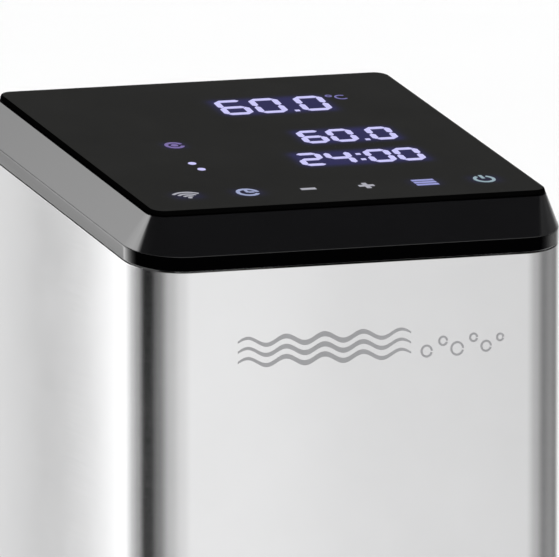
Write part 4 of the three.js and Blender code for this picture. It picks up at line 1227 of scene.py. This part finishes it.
def make_clamp_trim():
    liner = made("collar_sleeve", ring(32, 30.6, COLLAR_BOTTOM + 2, COLLAR_TOP - 2, 144))
    cut(liner, block((-4, SPLIT_FRONT, COLLAR_BOTTOM), (4, SPLIT_BACK, COLLAR_TOP)))
    piece(liner, "collar_liner", edge=0.15)
    pad = made("jaw_pad", block((-14, JAW_FACE + GAP, 100), (14, JAW_FACE + 2.8, 130)))
    grooves = [block((-15, JAW_FACE + 2, z), (15, JAW_FACE + 4, z + 1.5)) for z in (104.5, 111, 117.5, 124)]
    cut(pad, *grooves)
    piece(pad, "fixed_jaw_pad", edge=0.35, segments=3)
    insert = on_screw(ring(6.1, SCREW_BORE, -10.4, 0.4, 64), LEG_BACK)
    piece(made("screw_insert", insert), "threaded_insert", edge=0.15)


def make_lock():
    bolt = made("cross_bolt", on_lock(rod(2.2, -12.5, LEVER_X + 2.2, 32)))
    fused(bolt, on_lock(rod(4.6, -13.5, -9.3, 6)))
    cut(bolt, moved(rod(PIN_BORE, LOCK_Z - 6, LOCK_Z + 6, 32), LEVER_X, LOCK_Y))
    piece(bolt, "lock_bolt", edge=0.25)
    inside = PIN_END - 1.2
    half_pin = [(0, PIN_END), (2.3, PIN_END), (2.6, PIN_END - 0.3), (2.6, inside), (1.4, inside)]
    pin = lathe([(r, -z) for r, z in half_pin] + half_pin[::-1], 32)
    piece(made("cam_pin", moved(pin, LEVER_X, LOCK_Y, LOCK_Z)), "lever_pin")
    low, high = LOCK_Z - LEVER_HALF, LOCK_Z + LEVER_HALF
    arm = [(0, -2), (36, -2), (38.6, -2.3), (40.6, -3.2), (42, -5), (45.5, -4), (44.3, -1.2), (42, 1),
           (38, 2), (0, 2)]
    lever = made("cam_lever", rod(6.2, low, high, 64))
    fused(lever, prism(arm, low, high))
    cut(lever, rod(8.5, LOCK_Z - 2.7, LOCK_Z + 2.7, 64), rod(PIN_BORE, low - PAST, high + PAST, 32))
    lever.data.transform(Matrix.Translation(Vector((LEVER_X, LOCK_Y, 0)) * MM)
                         @ Matrix.Rotation(math.radians(LEVER_ANGLE), 4, "Z"))
    piece(merged(lever, 0.2), "lock_lever", edge=0.45, segments=3, clamp=False)


THREAD_PITCH = 1.6
THREAD_DEPTH = 0.65
KNOB_FRONT = low_high("screw_knob")[0].y
KNOB_DEPTH = 14
KNOB_RADIUS, KNOB_LOBE, KNOB_LOBES = 14, 1.4, 6


def threaded_rod(radius, length, sides=48):
    """A rod with a rolled thread and tapered ends, along Z from 0."""
    rows = int(length / THREAD_PITCH * 8)
    outlines = []
    for row in range(rows + 1):
        z = length * row / rows
        taper = min(1, z / 1.2, (length - z) / 1.2)
        outline = []
        for i, (x, y) in enumerate(round_about(sides)):
            phase = (z / THREAD_PITCH - i / sides) % 1
            crest = min(1, max(0, 1.6 - abs(phase - 0.5) * 4.4))
            r = radius - THREAD_DEPTH - 0.5 + (0.5 + THREAD_DEPTH * crest) * taper
            outline.append((r * x, r * y, z))
        outlines.append(outline)
    return stacked(outlines)


def make_screw():
    thread = threaded_rod(SCREW_RADIUS, screw_high.y - screw_low.y)
    piece(made("threaded_rod", on_screw(thread, screw_low.y)), "clamp_screw")
    profile = [(0, PAD_FRONT + 2), (10.4, PAD_FRONT + 2), (10.4, PAD_FRONT)]
    for radius in (7, 4):
        wide, narrow, floor = radius + 0.5, radius - 0.5, PAD_FRONT + 0.6
        profile += [(wide, PAD_FRONT), (wide, floor), (narrow, floor), (narrow, PAD_FRONT)]
    cushion = lathe(profile + [(0, PAD_FRONT)])
    piece(made("pad_cushion", on_screw(cushion)), "pad_face", edge=0.2)
    front, rear = PAD_FRONT + 2 + GAP, PAD_FRONT + 6.3
    cup = lathe([(0, front), (10.6, front), (11, front + 0.4), (11, front + 1.8), (10.6, front + 2.2),
                 (8.2, rear - 0.2), (7.8, rear), (SCREW_BORE, rear), (SCREW_BORE, front + 1.5),
                 (0, front + 1.5)])
    piece(made("swivel_cup", on_screw(cup)), "pressure_pad")


def make_knob():
    bevel, steps = 1.5, 144
    rows = [(0, bevel), (0.45, 0.45), (bevel, 0)]
    rows += [(KNOB_DEPTH - z, inset) for z, inset in reversed(rows)]
    outlines = []
    for z, inset in rows:
        outline = []
        for i, (x, y) in enumerate(round_about(steps)):
            r = KNOB_RADIUS + KNOB_LOBE * math.cos(KNOB_LOBES * 2 * math.pi * i / steps) - inset
            outline.append((r * x, r * y, KNOB_FRONT + z))
        outlines.append(outline)
    knob = made("star_knob", on_screw(stacked(outlines)))
    rear = KNOB_FRONT + KNOB_DEPTH
    recess = lathe([(0, rear - 1.2), (4, rear - 1.05), (8.2, rear - 0.9), (8.8, rear + 1), (0, rear + 1)])
    bore = rod(SCREW_BORE, KNOB_FRONT - PAST, KNOB_FRONT + 9.5, 64)
    cut(knob, on_screw(recess), on_screw(bore))
    piece(knob, "screw_knob", edge=0.3, angle=38)


make_cap()
make_glass()
make_sleeve()
make_display()
make_mark()
make_base()
make_tie_screws()
make_inlet()
make_inlet_pins()
make_inlet_screws()
make_skirt()
make_level_lines()
make_outlet()
make_flange()
make_heater()
make_column_rods()
make_bracket()
make_clamp_trim()
make_lock()
make_screw()
make_knob()
